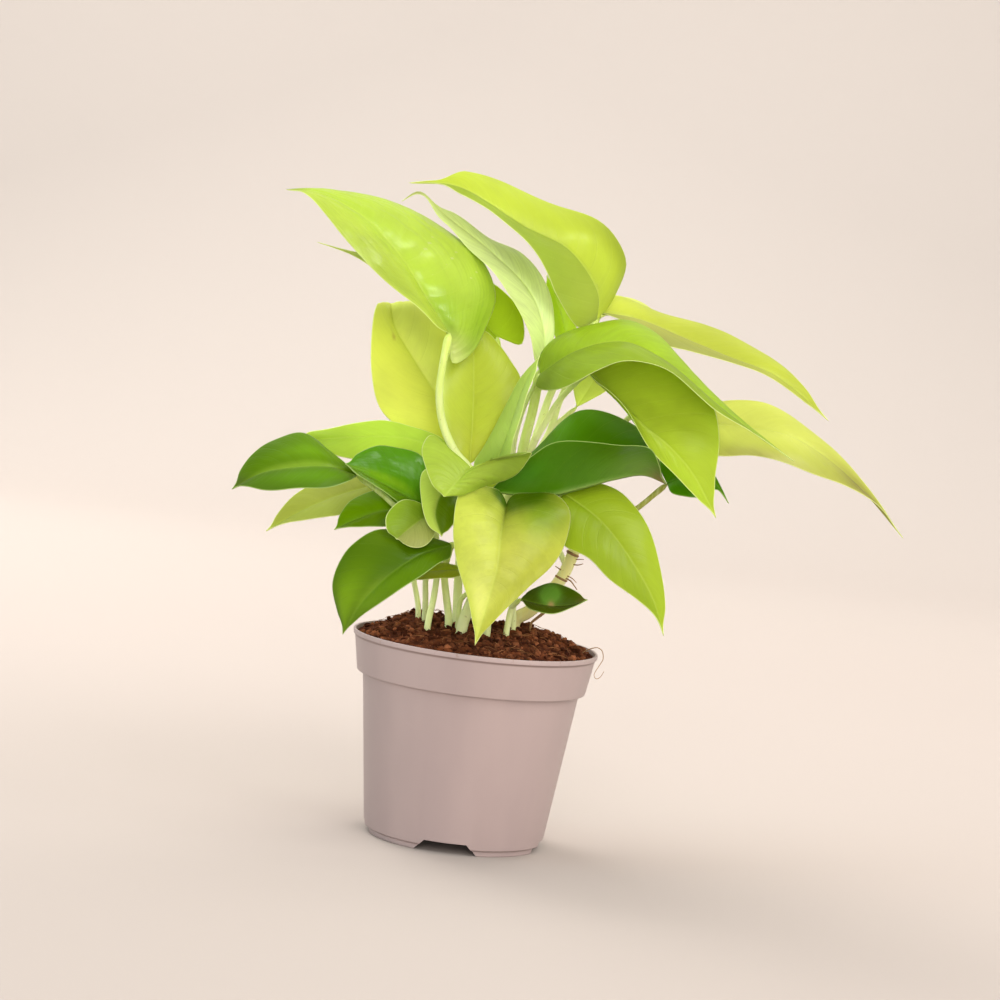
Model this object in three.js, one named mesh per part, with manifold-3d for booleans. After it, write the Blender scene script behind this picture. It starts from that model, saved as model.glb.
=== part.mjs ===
// Potted golden pothos in a nursery pot, in millimetres, +Z up.
// The origin is the centre of the pot's underside, on the plane it stands on.
import * as THREE from 'three';
import { mergeVertices } from 'three/addons/utils/BufferGeometryUtils.js';
import Module from 'manifold-3d';

const wasm = await Module();
wasm.setup();

// Pot
const POT_HEIGHT = 82;
const RIM_RADIUS = 50;
const COLLAR_HEIGHT = 16.7;
const COLLAR_FOOT_RADIUS = 46.8;
const BODY_TOP_RADIUS = 44.4;
const BODY_FOOT_RADIUS = 36.8;
const FOOT_RADIUS = 35.3;
const FOOT_HEIGHT = 2;
const FOOT_STEP = 0.6;
const WALL = 1.1;
const PANEL_UNDERSIDE = 4.2;
const PANEL_THICKNESS = 1.2;
const GATE_BOSS_RADIUS = 6;
const POT_SIDES = 40;

// Notches in the pot's foot, and drain holes behind them
const NOTCH_COUNT = 4;
const NOTCH_WIDTH = 26;
const NOTCH_TOP_WIDTH = 17;
const NOTCH_HEIGHT = 4.6;
const NOTCH_START = 28;
const NOTCH_DEPTH = 20;
const FIRST_NOTCH_DEGREES = -94;
const DRAIN_RADIUS = 4;
const DRAIN_CIRCLE = 25;
const DRAIN_SIDES = 12;

// Soil
const CONTACT_GAP = 0.3;
const SOIL_EDGE_GAP = 0.8;
const SOIL_EDGE_HEIGHT = 80.5;
const SOIL_MOUND = 6;
const SOIL_RINGS = 7;
const SOIL_CRUMB = 0.7;
const SOIL_HEAPS = [
  { x: -24, y: 24, height: 5, spread: 16 },
  { x: 22, y: 18, height: 3.5, spread: 18 },
];

// Stems
const STEM_SIDES = 6;
const STEM_STEP = 9;
const STEM_ROOT_DEPTH = 14;
const STEM_UPRIGHT_RISE = 2.5;
const HOLE_CLEARANCE = 1.1;
const HOLE_SIDES = 8;
const SEAT_STEP = 0.1;

// Blades
const BLADE_THICKNESS = 0.8;
const BLADE_STEPS = 9;
const BLADE_ACROSS = [-1, -0.5, 0, 0.5, 1];
const BLADE_ARCH = 0.08;
const RIB_SPACING_POWER = 1.15;
const MARGIN_WAVE = 0.035;
const WAVES_ALONG = 2.5;
const RIGHT_WAVE_SHIFT = 2;

// Each blade is drawn by its midrib, from the petiole to the tip, and by its left and right margins
// between the same two ends, as seen from its upper face with the tip pointing away.
const BLADES = {
  leaf_top_left: {
    rib: [[-25, -15, 205], [-36, -20, 219], [-48, -25, 234], [-64, -25, 247], [-83, -22, 254],
      [-96, -20, 254]],
    left: [[-30, -24, 207], [-39, -32, 215], [-58, -38, 227], [-78, -34, 246], [-88, -26, 253]],
    right: [[-22, -6, 193], [-14, -4, 199], [-10, 0, 211], [-9, 4, 221], [-17, 6, 236],
      [-35, 6, 249], [-53, 0, 254], [-88, -16, 256]],
    color: [0.42, 0.62, 0.05],
  },
  leaf_left_yellow: {
    rib: [[-15, 20, 157], [-24, 24, 173], [-38, 28, 190], [-49, 32, 204], [-52, 40, 213],
      [-50, 56, 204], [-47, 62, 188]],
    left: [[-30, 16, 159], [-49, 17, 169], [-56, 20, 185], [-58, 26, 205], [-57, 36, 213],
      [-54, 54, 202]],
    right: [[-9, 30, 166], [-16, 34, 188], [-28, 36, 206], [-42, 42, 215], [-44, 56, 204]],
    color: [0.68, 0.74, 0.1],
  },
  leaf_centre: {
    rib: [[-11, -4, 153], [-12, 2, 172], [-14, 6, 192], [-17, 12, 211]],
    left: [[-16, -6, 156], [-21, -4, 163], [-26, -2, 178], [-26, 2, 190], [-22, 8, 203]],
    right: [[-4, 0, 160], [5, 4, 176], [6, 8, 189], [0, 10, 197], [-9, 12, 206]],
    color: [0.6, 0.66, 0.08],
  },
  leaf_centre_edge: {
    rib: [[-2, -14, 149], [3, -14, 168], [7, -16, 187], [12, -19, 201]],
    left: [[-9, -10, 153], [-6, -6, 162], [-1, -5, 173], [4, -11, 188]],
    right: [[4, -20, 156], [6, -24, 168], [8, -23, 181], [11, -22, 193]],
    color: [0.4, 0.52, 0.15],
  },
  leaf_back_left: {
    rib: [[-6, 22, 205], [-28, 28, 222], [-58, 30, 230], [-85, 30, 235]],
    left: [[-10, 20, 200], [-22, 22, 207], [-42, 26, 218], [-63, 29, 228]],
    right: [[4, 24, 203], [5, 26, 208], [2, 28, 217], [-6, 30, 224], [-14, 32, 228], [-36, 34, 236],
      [-64, 32, 233]],
    color: [0.42, 0.5, 0.04],
  },
  leaf_pale_arch: {
    rib: [[13, 8, 194], [13, 8, 208], [6, 10, 224], [-12, 9, 239], [-33, 6, 252], [-44, 4, 260],
      [-51, 2, 255]],
    left: [[10, 2, 198], [7, 0, 208], [2, -2, 217], [-5, -2, 225], [-12, -2, 232], [-21, 0, 239],
      [-33, 3, 249]],
    right: [[17, 12, 205], [15, 18, 221], [8, 20, 233], [-1, 20, 241], [-14, 16, 245],
      [-32, 9, 254]],
    color: [0.55, 0.65, 0.25],
  },
  leaf_top_yellow: {
    rib: [[34, 24, 217], [33, 22, 228], [19, 18, 244], [0, 14, 251], [-29, 8, 264], [-49, 4, 263]],
    left: [[26, 16, 213], [17, 8, 224], [11, 4, 234], [4, 2, 242], [-6, 2, 250], [-17, 3, 257],
      [-37, 5, 263]],
    right: [[40, 34, 226], [44, 36, 241], [39, 36, 250], [30, 36, 257], [12, 34, 262],
      [-13, 28, 269], [-37, 12, 270], [-46, 6, 266]],
    color: [0.6, 0.7, 0.04],
  },
  leaf_wedge: {
    rib: [[24, 30, 202], [21, 32, 212], [16, 34, 224], [11, 36, 233]],
    left: [[18, 36, 207], [15, 40, 214], [12, 38, 225]],
    right: [[27, 26, 210], [23, 28, 218], [16, 32, 228]],
    color: [0.35, 0.45, 0.03],
  },
  leaf_right_arch: {
    rib: [[13, -6, 193], [26, -14, 204], [44, -18, 210], [60, -18, 205], [84, -16, 190],
      [119, -12, 170]],
    left: [[12, 2, 198], [14, 4, 203], [21, 8, 210], [35, 10, 217], [45, 10, 219], [56, 6, 215],
      [69, 0, 205], [96, -8, 184]],
    right: [[12, -10, 188], [21, -28, 189], [36, -37, 198], [44, -38, 202], [54, -36, 203],
      [64, -32, 201], [84, -22, 187], [100, -16, 180]],
    color: [0.4, 0.6, 0.04],
  },
  leaf_right_olive: {
    rib: [[32, -8, 196], [48, -12, 184], [57, -14, 177], [67, -15, 171], [78, -15, 161],
      [90, -14, 144]],
    left: [[36, -16, 193], [41, -18, 190], [48, -20, 184], [53, -21, 178], [60, -21, 169],
      [73, -20, 158], [83, -17, 150]],
    right: [[42, 0, 203], [58, 0, 204], [72, -2, 197], [83, -4, 189], [88, -8, 175],
      [88, -11, 158]],
    color: [0.4, 0.52, 0.03],
  },
  leaf_far_right_top: {
    rib: [[35, 36, 220], [52, 38, 219], [70, 40, 214], [90, 40, 208], [112, 42, 202],
      [136, 42, 186]],
    left: [[40, 46, 227], [62, 54, 223], [78, 56, 220], [96, 56, 215], [111, 52, 209],
      [123, 46, 200]],
    right: [[50, 28, 216], [61, 28, 210], [74, 30, 208], [91, 32, 206], [104, 34, 203],
      [117, 38, 197]],
    color: [0.58, 0.64, 0.08],
  },
  leaf_back_top: {
    rib: [[32, 52, 214], [43, 66, 227], [56, 84, 222], [63, 98, 208]],
    left: [[26, 62, 216], [32, 78, 224], [46, 94, 218]],
    right: [[40, 52, 220], [54, 62, 224], [64, 80, 218]],
    color: [0.7, 0.76, 0.2],
  },
  leaf_far_right: {
    rib: [[77, 8, 180], [96, 8, 181], [116, 6, 180], [134, 6, 172], [152, 8, 159], [169, 10, 143]],
    left: [[84, 18, 187], [90, 20, 190], [104, 22, 192], [112, 20, 190], [126, 16, 182],
      [139, 12, 174], [153, 10, 161]],
    right: [[80, -4, 171], [88, -6, 169], [101, -8, 170], [114, -8, 169], [128, -6, 166],
      [142, 0, 162], [157, 6, 155]],
    color: [0.66, 0.73, 0.1],
  },
  leaf_dark_boat: {
    rib: [[-1, -18, 145], [19, -20, 145], [34, -20, 150], [47, -18, 155], [59, -14, 158],
      [69, -10, 155]],
    left: [[6, -8, 152], [17, 2, 166], [24, 6, 174], [32, 8, 179], [44, 8, 180], [56, 4, 176],
      [63, -4, 168]],
    right: [[4, -26, 152], [13, -32, 161], [21, -34, 167], [36, -34, 170], [48, -32, 170],
      [60, -26, 169], [65, -18, 162]],
    color: [0.08, 0.22, 0.01],
  },
  leaf_dark_right: {
    rib: [[70, 8, 154], [76, 8, 158], [84, 8, 158], [90, 8, 156], [96, 8, 149]],
    left: [[66, 14, 162], [72, 18, 168], [82, 16, 168], [90, 12, 160]],
    right: [[72, 2, 151], [79, 0, 150], [84, 2, 151], [90, 6, 153]],
    color: [0.1, 0.26, 0.02],
  },
  leaf_front_yellow: {
    rib: [[6, -28, 140], [5, -41, 131], [5, -50, 118], [3, -55, 104], [0, -58, 87]],
    left: [[8, -26, 144.5], [16, -25.5, 146], [25, -27, 147], [31, -31, 142], [31, -36, 131],
      [27, -42, 121], [18, -50, 111], [7, -56, 98]],
    right: [[2, -28, 146], [-7, -29, 147], [-13, -34, 144], [-14, -44, 131], [-11, -50, 118],
      [-4, -55, 102]],
    color: [0.7, 0.74, 0.12],
  },
  leaf_right_lower: {
    rib: [[28, -14, 147], [44, -20, 138], [58, -26, 124], [68, -28, 110], [74, -30, 96]],
    left: [[32, -8, 151], [44, -8, 152], [51, -10, 150], [58, -14, 144], [64, -18, 136],
      [69, -22, 125], [73, -26, 110]],
    right: [[24, -20, 138], [30, -24, 127], [41, -28, 123], [50, -30, 116], [62, -30, 109],
      [69, -30, 104]],
    color: [0.42, 0.58, 0.04],
  },
  leaf_cup: {
    rib: [[-10, -34, 154], [-14, -39, 149], [-19, -44, 142]],
    left: [[2, -42, 159], [12, -46, 164], [13, -40, 161], [8, -34, 153], [-4, -34, 147],
      [-12, -38, 143]],
    right: [[-17, -30, 159], [-27, -26, 164], [-30, -32, 160], [-27, -40, 151], [-23, -44, 145]],
    color: [0.42, 0.56, 0.08],
  },
  leaf_shadow: {
    rib: [[-15, -18, 148], [-20, -24, 143], [-22, -29, 134], [-18, -32, 125]],
    left: [[-11, -18, 146], [-12, -24, 139], [-14, -29, 131]],
    right: [[-22, -16, 152], [-29, -20, 149], [-28, -27, 138], [-24, -31, 129]],
    color: [0.3, 0.4, 0.03],
  },
  leaf_left_lime: {
    rib: [[-18, 2, 156], [-38, 8, 160], [-58, 10, 158], [-74, 8, 155], [-84, 6, 153]],
    left: [[-24, 2, 152], [-40, 4, 150], [-58, 6, 149], [-74, 6, 151]],
    right: [[-24, 8, 162], [-38, 11, 165], [-48, 12, 166], [-58, 12, 164], [-70, 10, 160],
      [-80, 6, 157]],
    color: [0.45, 0.6, 0.08],
  },
  leaf_far_left_dark: {
    rib: [[-55, -14, 144], [-67, -22, 147], [-80, -22, 145], [-93, -22, 141], [-104, -20, 133]],
    left: [[-58, -26, 142], [-66, -30, 139], [-78, -30, 137], [-90, -28, 135], [-99, -24, 135]],
    right: [[-61, -14, 149], [-68, -10, 153], [-80, -8, 158], [-91, -10, 154], [-98, -14, 147],
      [-102, -18, 140]],
    color: [0.15, 0.35, 0.02],
  },
  leaf_left_olive: {
    rib: [[-48, 4, 140], [-62, 8, 134], [-76, 10, 126], [-91, 10, 115]],
    left: [[-52, 0, 131], [-61, 2, 126], [-75, 6, 122], [-84, 8, 119]],
    right: [[-52, 12, 145], [-64, 16, 143], [-79, 15, 133], [-85, 12, 126]],
    color: [0.4, 0.44, 0.07],
  },
  leaf_left_small: {
    rib: [[-33, -10, 133], [-44, -12, 131], [-54, -12, 126], [-62, -12, 121]],
    left: [[-36, -14, 127], [-42, -16, 125], [-50, -16, 124], [-56, -15, 123]],
    right: [[-38, -6, 138], [-48, -4, 138], [-56, -6, 134], [-60, -9, 128]],
    color: [0.14, 0.32, 0.01],
  },
  leaf_dark_gloss: {
    rib: [[-25, -14, 134], [-38, -17, 140], [-50, -22, 145], [-60, -25, 149]],
    left: [[-29, -18, 131], [-36, -20, 135], [-46, -23, 141], [-56, -25, 146]],
    right: [[-24, -10, 142], [-27, -7, 150], [-32, -6, 155], [-40, -8, 157], [-48, -13, 157],
      [-56, -20, 153]],
    color: [0.1, 0.3, 0.02],
  },
  leaf_round_lobe: {
    rib: [[-24, -22, 133], [-30, -27, 128], [-36, -31, 122]],
    left: [[-21, -27, 127], [-24, -32, 121], [-30, -34, 120]],
    right: [[-29, -22, 137], [-36, -24, 137], [-41, -27, 131], [-40, -31, 125]],
    color: [0.45, 0.56, 0.16],
  },
  leaf_lower_left: {
    rib: [[-14, -24, 122], [-26, -32, 117], [-38, -36, 107], [-47, -34, 95], [-53, -26, 81]],
    left: [[-14, -30, 117], [-18, -36, 115], [-25, -40, 109], [-32, -40, 103], [-41, -36, 95],
      [-48, -30, 88]],
    right: [[-20, -19, 123], [-33, -19, 124], [-44, -24, 124], [-51, -28, 120], [-56, -30, 114],
      [-59, -30, 102], [-56, -28, 90]],
    color: [0.14, 0.33, 0.01],
  },
  leaf_low_back: {
    rib: [[-6, -12, 112], [-18, -15, 110], [-30, -17, 108], [-38, -18, 106]],
    left: [[-8, -20, 110], [-20, -24, 107], [-32, -22, 106]],
    right: [[-10, -6, 112], [-22, -7, 112], [-32, -11, 109]],
    color: [0.32, 0.4, 0.05],
  },
  leaf_soil_curl: {
    rib: [[16, -10, 102], [26, -12, 101], [36, -12, 102], [43, -11, 105]],
    left: [[20, -6, 106], [26, -5, 109], [34, -7, 109]],
    right: [[20, -15, 99], [28, -17, 98], [36, -16, 101]],
    color: [0.08, 0.18, 0.02],
  },
  leaf_back_small: {
    rib: [[30, 26, 180], [34, 26, 188], [37, 26, 196], [36, 26, 204]],
    left: [[28, 24, 186], [27, 24, 192], [32, 24, 200]],
    right: [[40, 28, 187], [45, 28, 192], [41, 28, 200]],
    color: [0.6, 0.68, 0.25],
  },
  leaf_rear_low_left: {
    rib: [[-14, 28, 128], [-24, 42, 130], [-33, 58, 124], [-38, 74, 110]],
    left: [[-24, 26, 124], [-36, 36, 123], [-42, 50, 118], [-42, 64, 112]],
    right: [[-8, 36, 128], [-8, 50, 128], [-18, 64, 121], [-30, 72, 113]],
    color: [0.4, 0.56, 0.04],
  },
  leaf_rear_low_right: {
    rib: [[26, 28, 128], [36, 42, 130], [46, 56, 124], [54, 70, 112]],
    left: [[18, 36, 128], [22, 50, 128], [34, 62, 121], [46, 69, 115]],
    right: [[36, 26, 124], [48, 36, 124], [54, 50, 119], [55, 62, 114]],
    color: [0.16, 0.36, 0.02],
  },
  leaf_rear_middle: {
    rib: [[4, 36, 144], [4, 52, 149], [4, 70, 145], [2, 88, 130]],
    left: [[-6, 34, 140], [-16, 46, 143], [-14, 62, 141], [-6, 78, 135]],
    right: [[14, 34, 141], [23, 48, 144], [20, 64, 141], [10, 79, 135]],
    color: [0.5, 0.62, 0.06],
  },
  leaf_rear_high: {
    rib: [[-6, 36, 176], [-12, 50, 184], [-18, 68, 182], [-20, 86, 168]],
    left: [[-16, 34, 174], [-30, 42, 177], [-34, 58, 174], [-28, 74, 170]],
    right: [[0, 42, 178], [4, 54, 182], [-2, 70, 178], [-12, 81, 171]],
    color: [0.45, 0.6, 0.05],
  },
  leaf_rear_right: {
    rib: [[38, 36, 166], [48, 50, 173], [58, 66, 168], [66, 80, 154]],
    left: [[28, 42, 168], [30, 58, 173], [44, 72, 167], [58, 79, 158]],
    right: [[46, 34, 164], [60, 42, 166], [68, 56, 163], [69, 69, 158]],
    color: [0.6, 0.68, 0.08],
  },
};

// Each vine is a main stem, which stands in the soil at its ground point, followed by its branches.
// A stem that names a leaf ends just short of that blade, at its midrib's first point.
const VINES = {
  vine_olive: [
    {
      radius: 1.1, ground: [-25, 12], leaf: 'leaf_left_olive',
      path: [[-28, 13, 101], [-33, 12, 118], [-41, 8, 132]],
    },
  ],
  vine_far_left: [
    {
      radius: 1.2, ground: [-22, 7], leaf: 'leaf_far_left_dark',
      path: [[-23, 5, 100], [-25, -5, 116], [-31, -16, 127], [-43, -16, 137]],
    },
  ],
  vine_left: [
    {
      radius: 1.3, ground: [-20, -9], leaf: 'leaf_dark_gloss',
      path: [[-19, -3, 98], [-19, -2, 110], [-21, -6, 121], [-24, -10, 129]],
    },
    {
      radius: 1, leaf: 'leaf_left_small',
      path: [[-19, -2, 108], [-25, -2, 121]],
    },
    {
      radius: 1, leaf: 'leaf_round_lobe',
      path: [[-20, -4, 116], [-21, -14, 126]],
    },
  ],
  vine_low: [
    {
      radius: 1.5, ground: [-12, 0], leaf: 'leaf_lower_left',
      path: [[-14, 0, 98], [-16, 0, 108], [-15, -8, 117]],
    },
  ],
  vine_short: [
    {
      radius: 1.1, ground: [-8, -4], leaf: 'leaf_low_back',
      path: [[-8, -4, 98], [-3, -11, 105]],
    },
  ],
  vine_centre: [
    {
      radius: 1.8, ground: [-9, 7], leaf: 'leaf_centre',
      path: [[-10, 6, 104], [-11, 5, 125], [-11, 3, 140]],
    },
    {
      radius: 1.2, leaf: 'leaf_left_yellow',
      path: [[-11, 5, 126], [-13, 12, 142]],
    },
    {
      radius: 1.2, leaf: 'leaf_left_lime',
      path: [[-11, 4, 132], [-14, 3, 146]],
    },
    {
      radius: 1.7, leaf: 'leaf_top_left',
      path: [[-11, 4, 130], [-9, -8, 142], [-10, -13, 151], [-17, -14, 158], [-23, -14, 168],
        [-26, -17, 180], [-26, -18, 193]],
    },
    {
      radius: 1.2, leaf: 'leaf_cup',
      path: [[-9, -8, 142], [-9, -18, 150]],
    },
    {
      radius: 1, leaf: 'leaf_shadow',
      path: [[-9, -8, 142], [-12, -13, 146]],
    },
    {
      radius: 1, leaf: 'leaf_centre_edge',
      path: [[-9, -8, 142], [-5, -11, 145]],
    },
    {
      radius: 1.3, leaf: 'leaf_back_left',
      path: [[-11, 5, 124], [-7, 12, 145], [-4, 18, 165], [-3, 20, 185]],
    },
    {
      radius: 1.2, leaf: 'leaf_rear_low_left',
      path: [[-10, 6, 110], [-11, 18, 122]],
    },
    {
      radius: 1.2, leaf: 'leaf_rear_high',
      path: [[-5, 16, 158], [-4, 26, 168]],
    },
  ],
  vine_tall: [
    {
      radius: 2.2, ground: [-6, -11], leaf: 'leaf_pale_arch',
      path: [[-3, -4, 100], [2, 4, 118], [6, 12, 138], [9, 16, 152], [10, 15, 163], [12, 12, 178]],
    },
    {
      radius: 1, leaf: 'leaf_right_arch',
      path: [[8, 15, 148], [6, 8, 161], [8, 4, 177]],
    },
    {
      radius: 1.6, leaf: 'leaf_top_yellow',
      path: [[9, 16, 150], [14, 18, 164], [19, 20, 186], [27, 24, 204]],
    },
    {
      radius: 1.1, leaf: 'leaf_wedge',
      path: [[18, 20, 182], [22, 26, 194]],
    },
    {
      radius: 1.4, leaf: 'leaf_far_right_top',
      path: [[9, 16, 148], [19, 22, 166], [23, 26, 183], [30, 32, 204]],
    },
    {
      radius: 1.3, leaf: 'leaf_right_olive',
      path: [[14, 18, 164], [22, 12, 182], [28, 2, 191]],
    },
    {
      radius: 0.9, leaf: 'leaf_back_small',
      path: [[20, 23, 170], [26, 25, 176]],
    },
    {
      radius: 1.1, leaf: 'leaf_back_top',
      path: [[26, 29, 193], [31, 42, 206]],
    },
    {
      radius: 1.2, leaf: 'leaf_rear_middle',
      path: [[4, 8, 128], [4, 24, 138]],
    },
  ],
  vine_front: [
    {
      radius: 1.5, ground: [4, -13], leaf: 'leaf_front_yellow',
      path: [[3, -13, 100], [3, -14, 118], [4, -20, 131]],
    },
  ],
  vine_boat: [
    {
      radius: 1.5, ground: [14, 3], leaf: 'leaf_dark_boat',
      path: [[13, 2, 98], [10, 0, 115], [6, -4, 130]],
    },
  ],
  vine_right: [
    {
      radius: 1.2, ground: [12, -6], leaf: 'leaf_right_lower',
      path: [[13, -4, 98], [18, -5, 115], [25, -5, 133]],
    },
    {
      radius: 0.9, leaf: 'leaf_soil_curl',
      path: [[12.6, -4, 97]],
    },
  ],
  vine_rooted: [
    {
      radius: 2.7, ground: [15, 11],
      path: [[20, 9, 95], [26, 8, 102], [31, 8, 109], [35, 8, 120], [37, 8, 133]],
    },
    {
      radius: 1.3, leaf: 'leaf_far_right',
      path: [[36.5, 8, 131], [42, 14, 150], [46, 17, 168], [53, 15, 180], [66, 11, 183]],
    },
    {
      radius: 1.2, leaf: 'leaf_dark_right',
      path: [[36.5, 8, 130], [48, 6, 136], [58, 6, 142], [66, 7, 150]],
    },
    {
      radius: 1.2, leaf: 'leaf_rear_low_right',
      path: [[33.5, 8, 115], [29, 18, 122]],
    },
    {
      radius: 1.2, leaf: 'leaf_rear_right',
      path: [[42, 14, 150], [40, 26, 158]],
    },
  ],
};

const PETIOLE_COLOR = [0.55, 0.66, 0.25];
const POT_COLOR = [0.42, 0.33, 0.3];
const SOIL_COLOR = [0.1, 0.03, 0.015];

const COLLAR_FOOT = POT_HEIGHT - COLLAR_HEIGHT;
const PANEL_TOP = PANEL_UNDERSIDE + PANEL_THICKNESS;

function vectors(points) {
  return points.map((p) => new THREE.Vector3(...p));
}

function smoothCurve(points) {
  return new THREE.CatmullRomCurve3(points, false, 'centripetal');
}

// Solid of a closed geometry, with its shared vertices merged
function solid(geometry) {
  const bare = geometry.clone();
  bare.deleteAttribute('normal');
  bare.deleteAttribute('uv');
  const merged = mergeVertices(bare, 1e-4);
  const vertProperties = new Float32Array(merged.attributes.position.array);
  const triVerts = new Uint32Array(merged.index.array);
  return new wasm.Manifold(new wasm.Mesh({ numProp: 3, vertProperties, triVerts }));
}

function indexedGeometry(positions, index) {
  const geometry = new THREE.BufferGeometry();
  geometry.setAttribute('position', new THREE.BufferAttribute(new Float32Array(positions), 3));
  geometry.setIndex(index);
  return geometry;
}

function geometryOf(manifold) {
  const mesh = manifold.getMesh();
  return indexedGeometry(mesh.vertProperties, Array.from(mesh.triVerts));
}

function lathe(profile, sides) {
  const geometry = new THREE.LatheGeometry(profile.map(([r, z]) => new THREE.Vector2(r, z)), sides);
  geometry.rotateX(Math.PI / 2);
  return geometry;
}

// Upright cylinder centred at the given point
function post(radius, height, sides, x, y, z) {
  const geometry = new THREE.CylinderGeometry(radius, radius, height, sides);
  geometry.rotateX(Math.PI / 2);
  geometry.translate(x, y, z);
  return geometry;
}

// One row of a blade's middle surface, across it from the left margin to the right
function bladeRow(u, rib, edges) {
  const along = rib.getTangentAt(u ** RIB_SPACING_POWER);
  const middle = rib.getPointAt(u ** RIB_SPACING_POWER);
  return BLADE_ACROSS.map((v) => {
    const onLeft = v < 0;
    const reach = (onLeft ? edges.left : edges.right).getPointAt(u).sub(middle);
    const width = reach.length();
    const up = onLeft ? along.clone().cross(reach) : reach.clone().cross(along);
    const a = Math.abs(v);
    const shift = onLeft ? 0 : RIGHT_WAVE_SHIFT;
    const wave = MARGIN_WAVE * a * a * Math.sin(2 * Math.PI * WAVES_ALONG * u + shift);
    const lift = width * (4 * BLADE_ARCH * a * (1 - a) + wave);
    return middle.clone().addScaledVector(reach, a).addScaledVector(up.normalize(), lift);
  });
}

function bladeRows(spec) {
  const [base, ...ribRest] = vectors(spec.rib);
  const tip = ribRest[ribRest.length - 1];
  const edges = {
    left: smoothCurve([base, ...vectors(spec.left), tip]),
    right: smoothCurve([base, ...vectors(spec.right), tip]),
  };
  const rib = smoothCurve([base, ...ribRest]);
  const rows = [];
  for (let i = 1; i < BLADE_STEPS; i += 1) {
    rows.push(bladeRow(i / BLADE_STEPS, rib, edges));
  }
  return { base, rows, tip };
}

// Closed blade: the middle surface set off to both sides by half the thickness
function bladeGeometry(spec) {
  const { base, rows, tip } = bladeRows(spec);
  const points = [base, ...rows.flat(), tip];
  const across = BLADE_ACROSS.length;
  const count = points.length;
  const last = count - 1;
  const at = (i, j) => 1 + i * across + j;

  const faces = [];
  for (let j = 0; j < across - 1; j += 1) {
    faces.push([0, at(0, j), at(0, j + 1)]);
    faces.push([last, at(rows.length - 1, j + 1), at(rows.length - 1, j)]);
    for (let i = 0; i < rows.length - 1; i += 1) {
      faces.push([at(i, j), at(i + 1, j), at(i + 1, j + 1)]);
      faces.push([at(i, j), at(i + 1, j + 1), at(i, j + 1)]);
    }
  }
  const sheet = new THREE.BufferGeometry().setFromPoints(points);
  sheet.setIndex(faces.flat());
  sheet.computeVertexNormals();

  const positions = [];
  for (const side of [-1, 1]) {
    points.forEach((point, k) => {
      const normal = new THREE.Vector3().fromBufferAttribute(sheet.attributes.normal, k);
      positions.push(...normal.multiplyScalar(side * BLADE_THICKNESS / 2).add(point).toArray());
    });
  }
  const leftEdge = rows.map((row, i) => at(i, 0));
  const rightEdge = rows.map((row, i) => at(i, across - 1));
  const outline = [0, ...leftEdge, last, ...rightEdge.reverse()];
  const index = [];
  faces.forEach(([a, b, c]) => {
    index.push(a, c, b, a + count, b + count, c + count);
  });
  outline.forEach((a, k) => {
    const b = outline[(k + 1) % outline.length];
    index.push(a, b, b + count, a, b + count, a + count);
  });
  return indexedGeometry(positions, index);
}

// Trapezoid cut through the foot, pointing outward along the given turn
function notchCutter(turn) {
  const shape = new THREE.Shape([
    new THREE.Vector2(-NOTCH_WIDTH / 2, -1),
    new THREE.Vector2(NOTCH_WIDTH / 2, -1),
    new THREE.Vector2(NOTCH_TOP_WIDTH / 2, NOTCH_HEIGHT),
    new THREE.Vector2(-NOTCH_TOP_WIDTH / 2, NOTCH_HEIGHT),
  ]);
  const cutter = new THREE.ExtrudeGeometry(shape, { depth: NOTCH_DEPTH, bevelEnabled: false });
  cutter.rotateX(Math.PI / 2);
  cutter.rotateZ(turn + Math.PI / 2);
  cutter.translate(NOTCH_START * Math.cos(turn), NOTCH_START * Math.sin(turn), 0);
  return cutter;
}

function potGeometry() {
  const profile = [
    [0, 0], [GATE_BOSS_RADIUS, 0], [GATE_BOSS_RADIUS, PANEL_UNDERSIDE],
    [FOOT_RADIUS - WALL, PANEL_UNDERSIDE], [FOOT_RADIUS - WALL, 0], [FOOT_RADIUS, 0],
    [FOOT_RADIUS, FOOT_HEIGHT], [BODY_FOOT_RADIUS, FOOT_HEIGHT + FOOT_STEP],
    [BODY_TOP_RADIUS, COLLAR_FOOT], [COLLAR_FOOT_RADIUS, COLLAR_FOOT],
    [RIM_RADIUS, POT_HEIGHT], [RIM_RADIUS - WALL, POT_HEIGHT],
    [COLLAR_FOOT_RADIUS - WALL, COLLAR_FOOT + WALL], [BODY_TOP_RADIUS - WALL, COLLAR_FOOT + WALL],
    [BODY_FOOT_RADIUS - WALL, PANEL_TOP], [0, PANEL_TOP],
  ];
  let body = solid(lathe(profile, POT_SIDES));
  for (let k = 0; k < NOTCH_COUNT; k += 1) {
    const turn = THREE.MathUtils.degToRad(FIRST_NOTCH_DEGREES + k * 360 / NOTCH_COUNT);
    const [x, y] = [DRAIN_CIRCLE * Math.cos(turn), DRAIN_CIRCLE * Math.sin(turn)];
    const drain = post(DRAIN_RADIUS, 3 * PANEL_THICKNESS, DRAIN_SIDES, x, y, PANEL_UNDERSIDE);
    body = body.subtract(solid(notchCutter(turn))).subtract(solid(drain));
  }
  return geometryOf(body);
}

function soilHeight(x, y) {
  const r = Math.hypot(x, y) / RIM_RADIUS;
  let height = SOIL_EDGE_HEIGHT + SOIL_MOUND * (1 - r * r);
  for (const heap of SOIL_HEAPS) {
    const away = Math.hypot(x - heap.x, y - heap.y) / heap.spread;
    height += heap.height * Math.exp(-away * away) * (1 - r ** 6);
  }
  return height;
}

// Small ups and downs of the soil's top, in a pattern with no repeat that shows
function crumbHeight(x, y) {
  return SOIL_CRUMB * Math.sin(0.9 * x + 1.3 * y) * Math.cos(1.1 * x - 0.7 * y);
}

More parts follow.
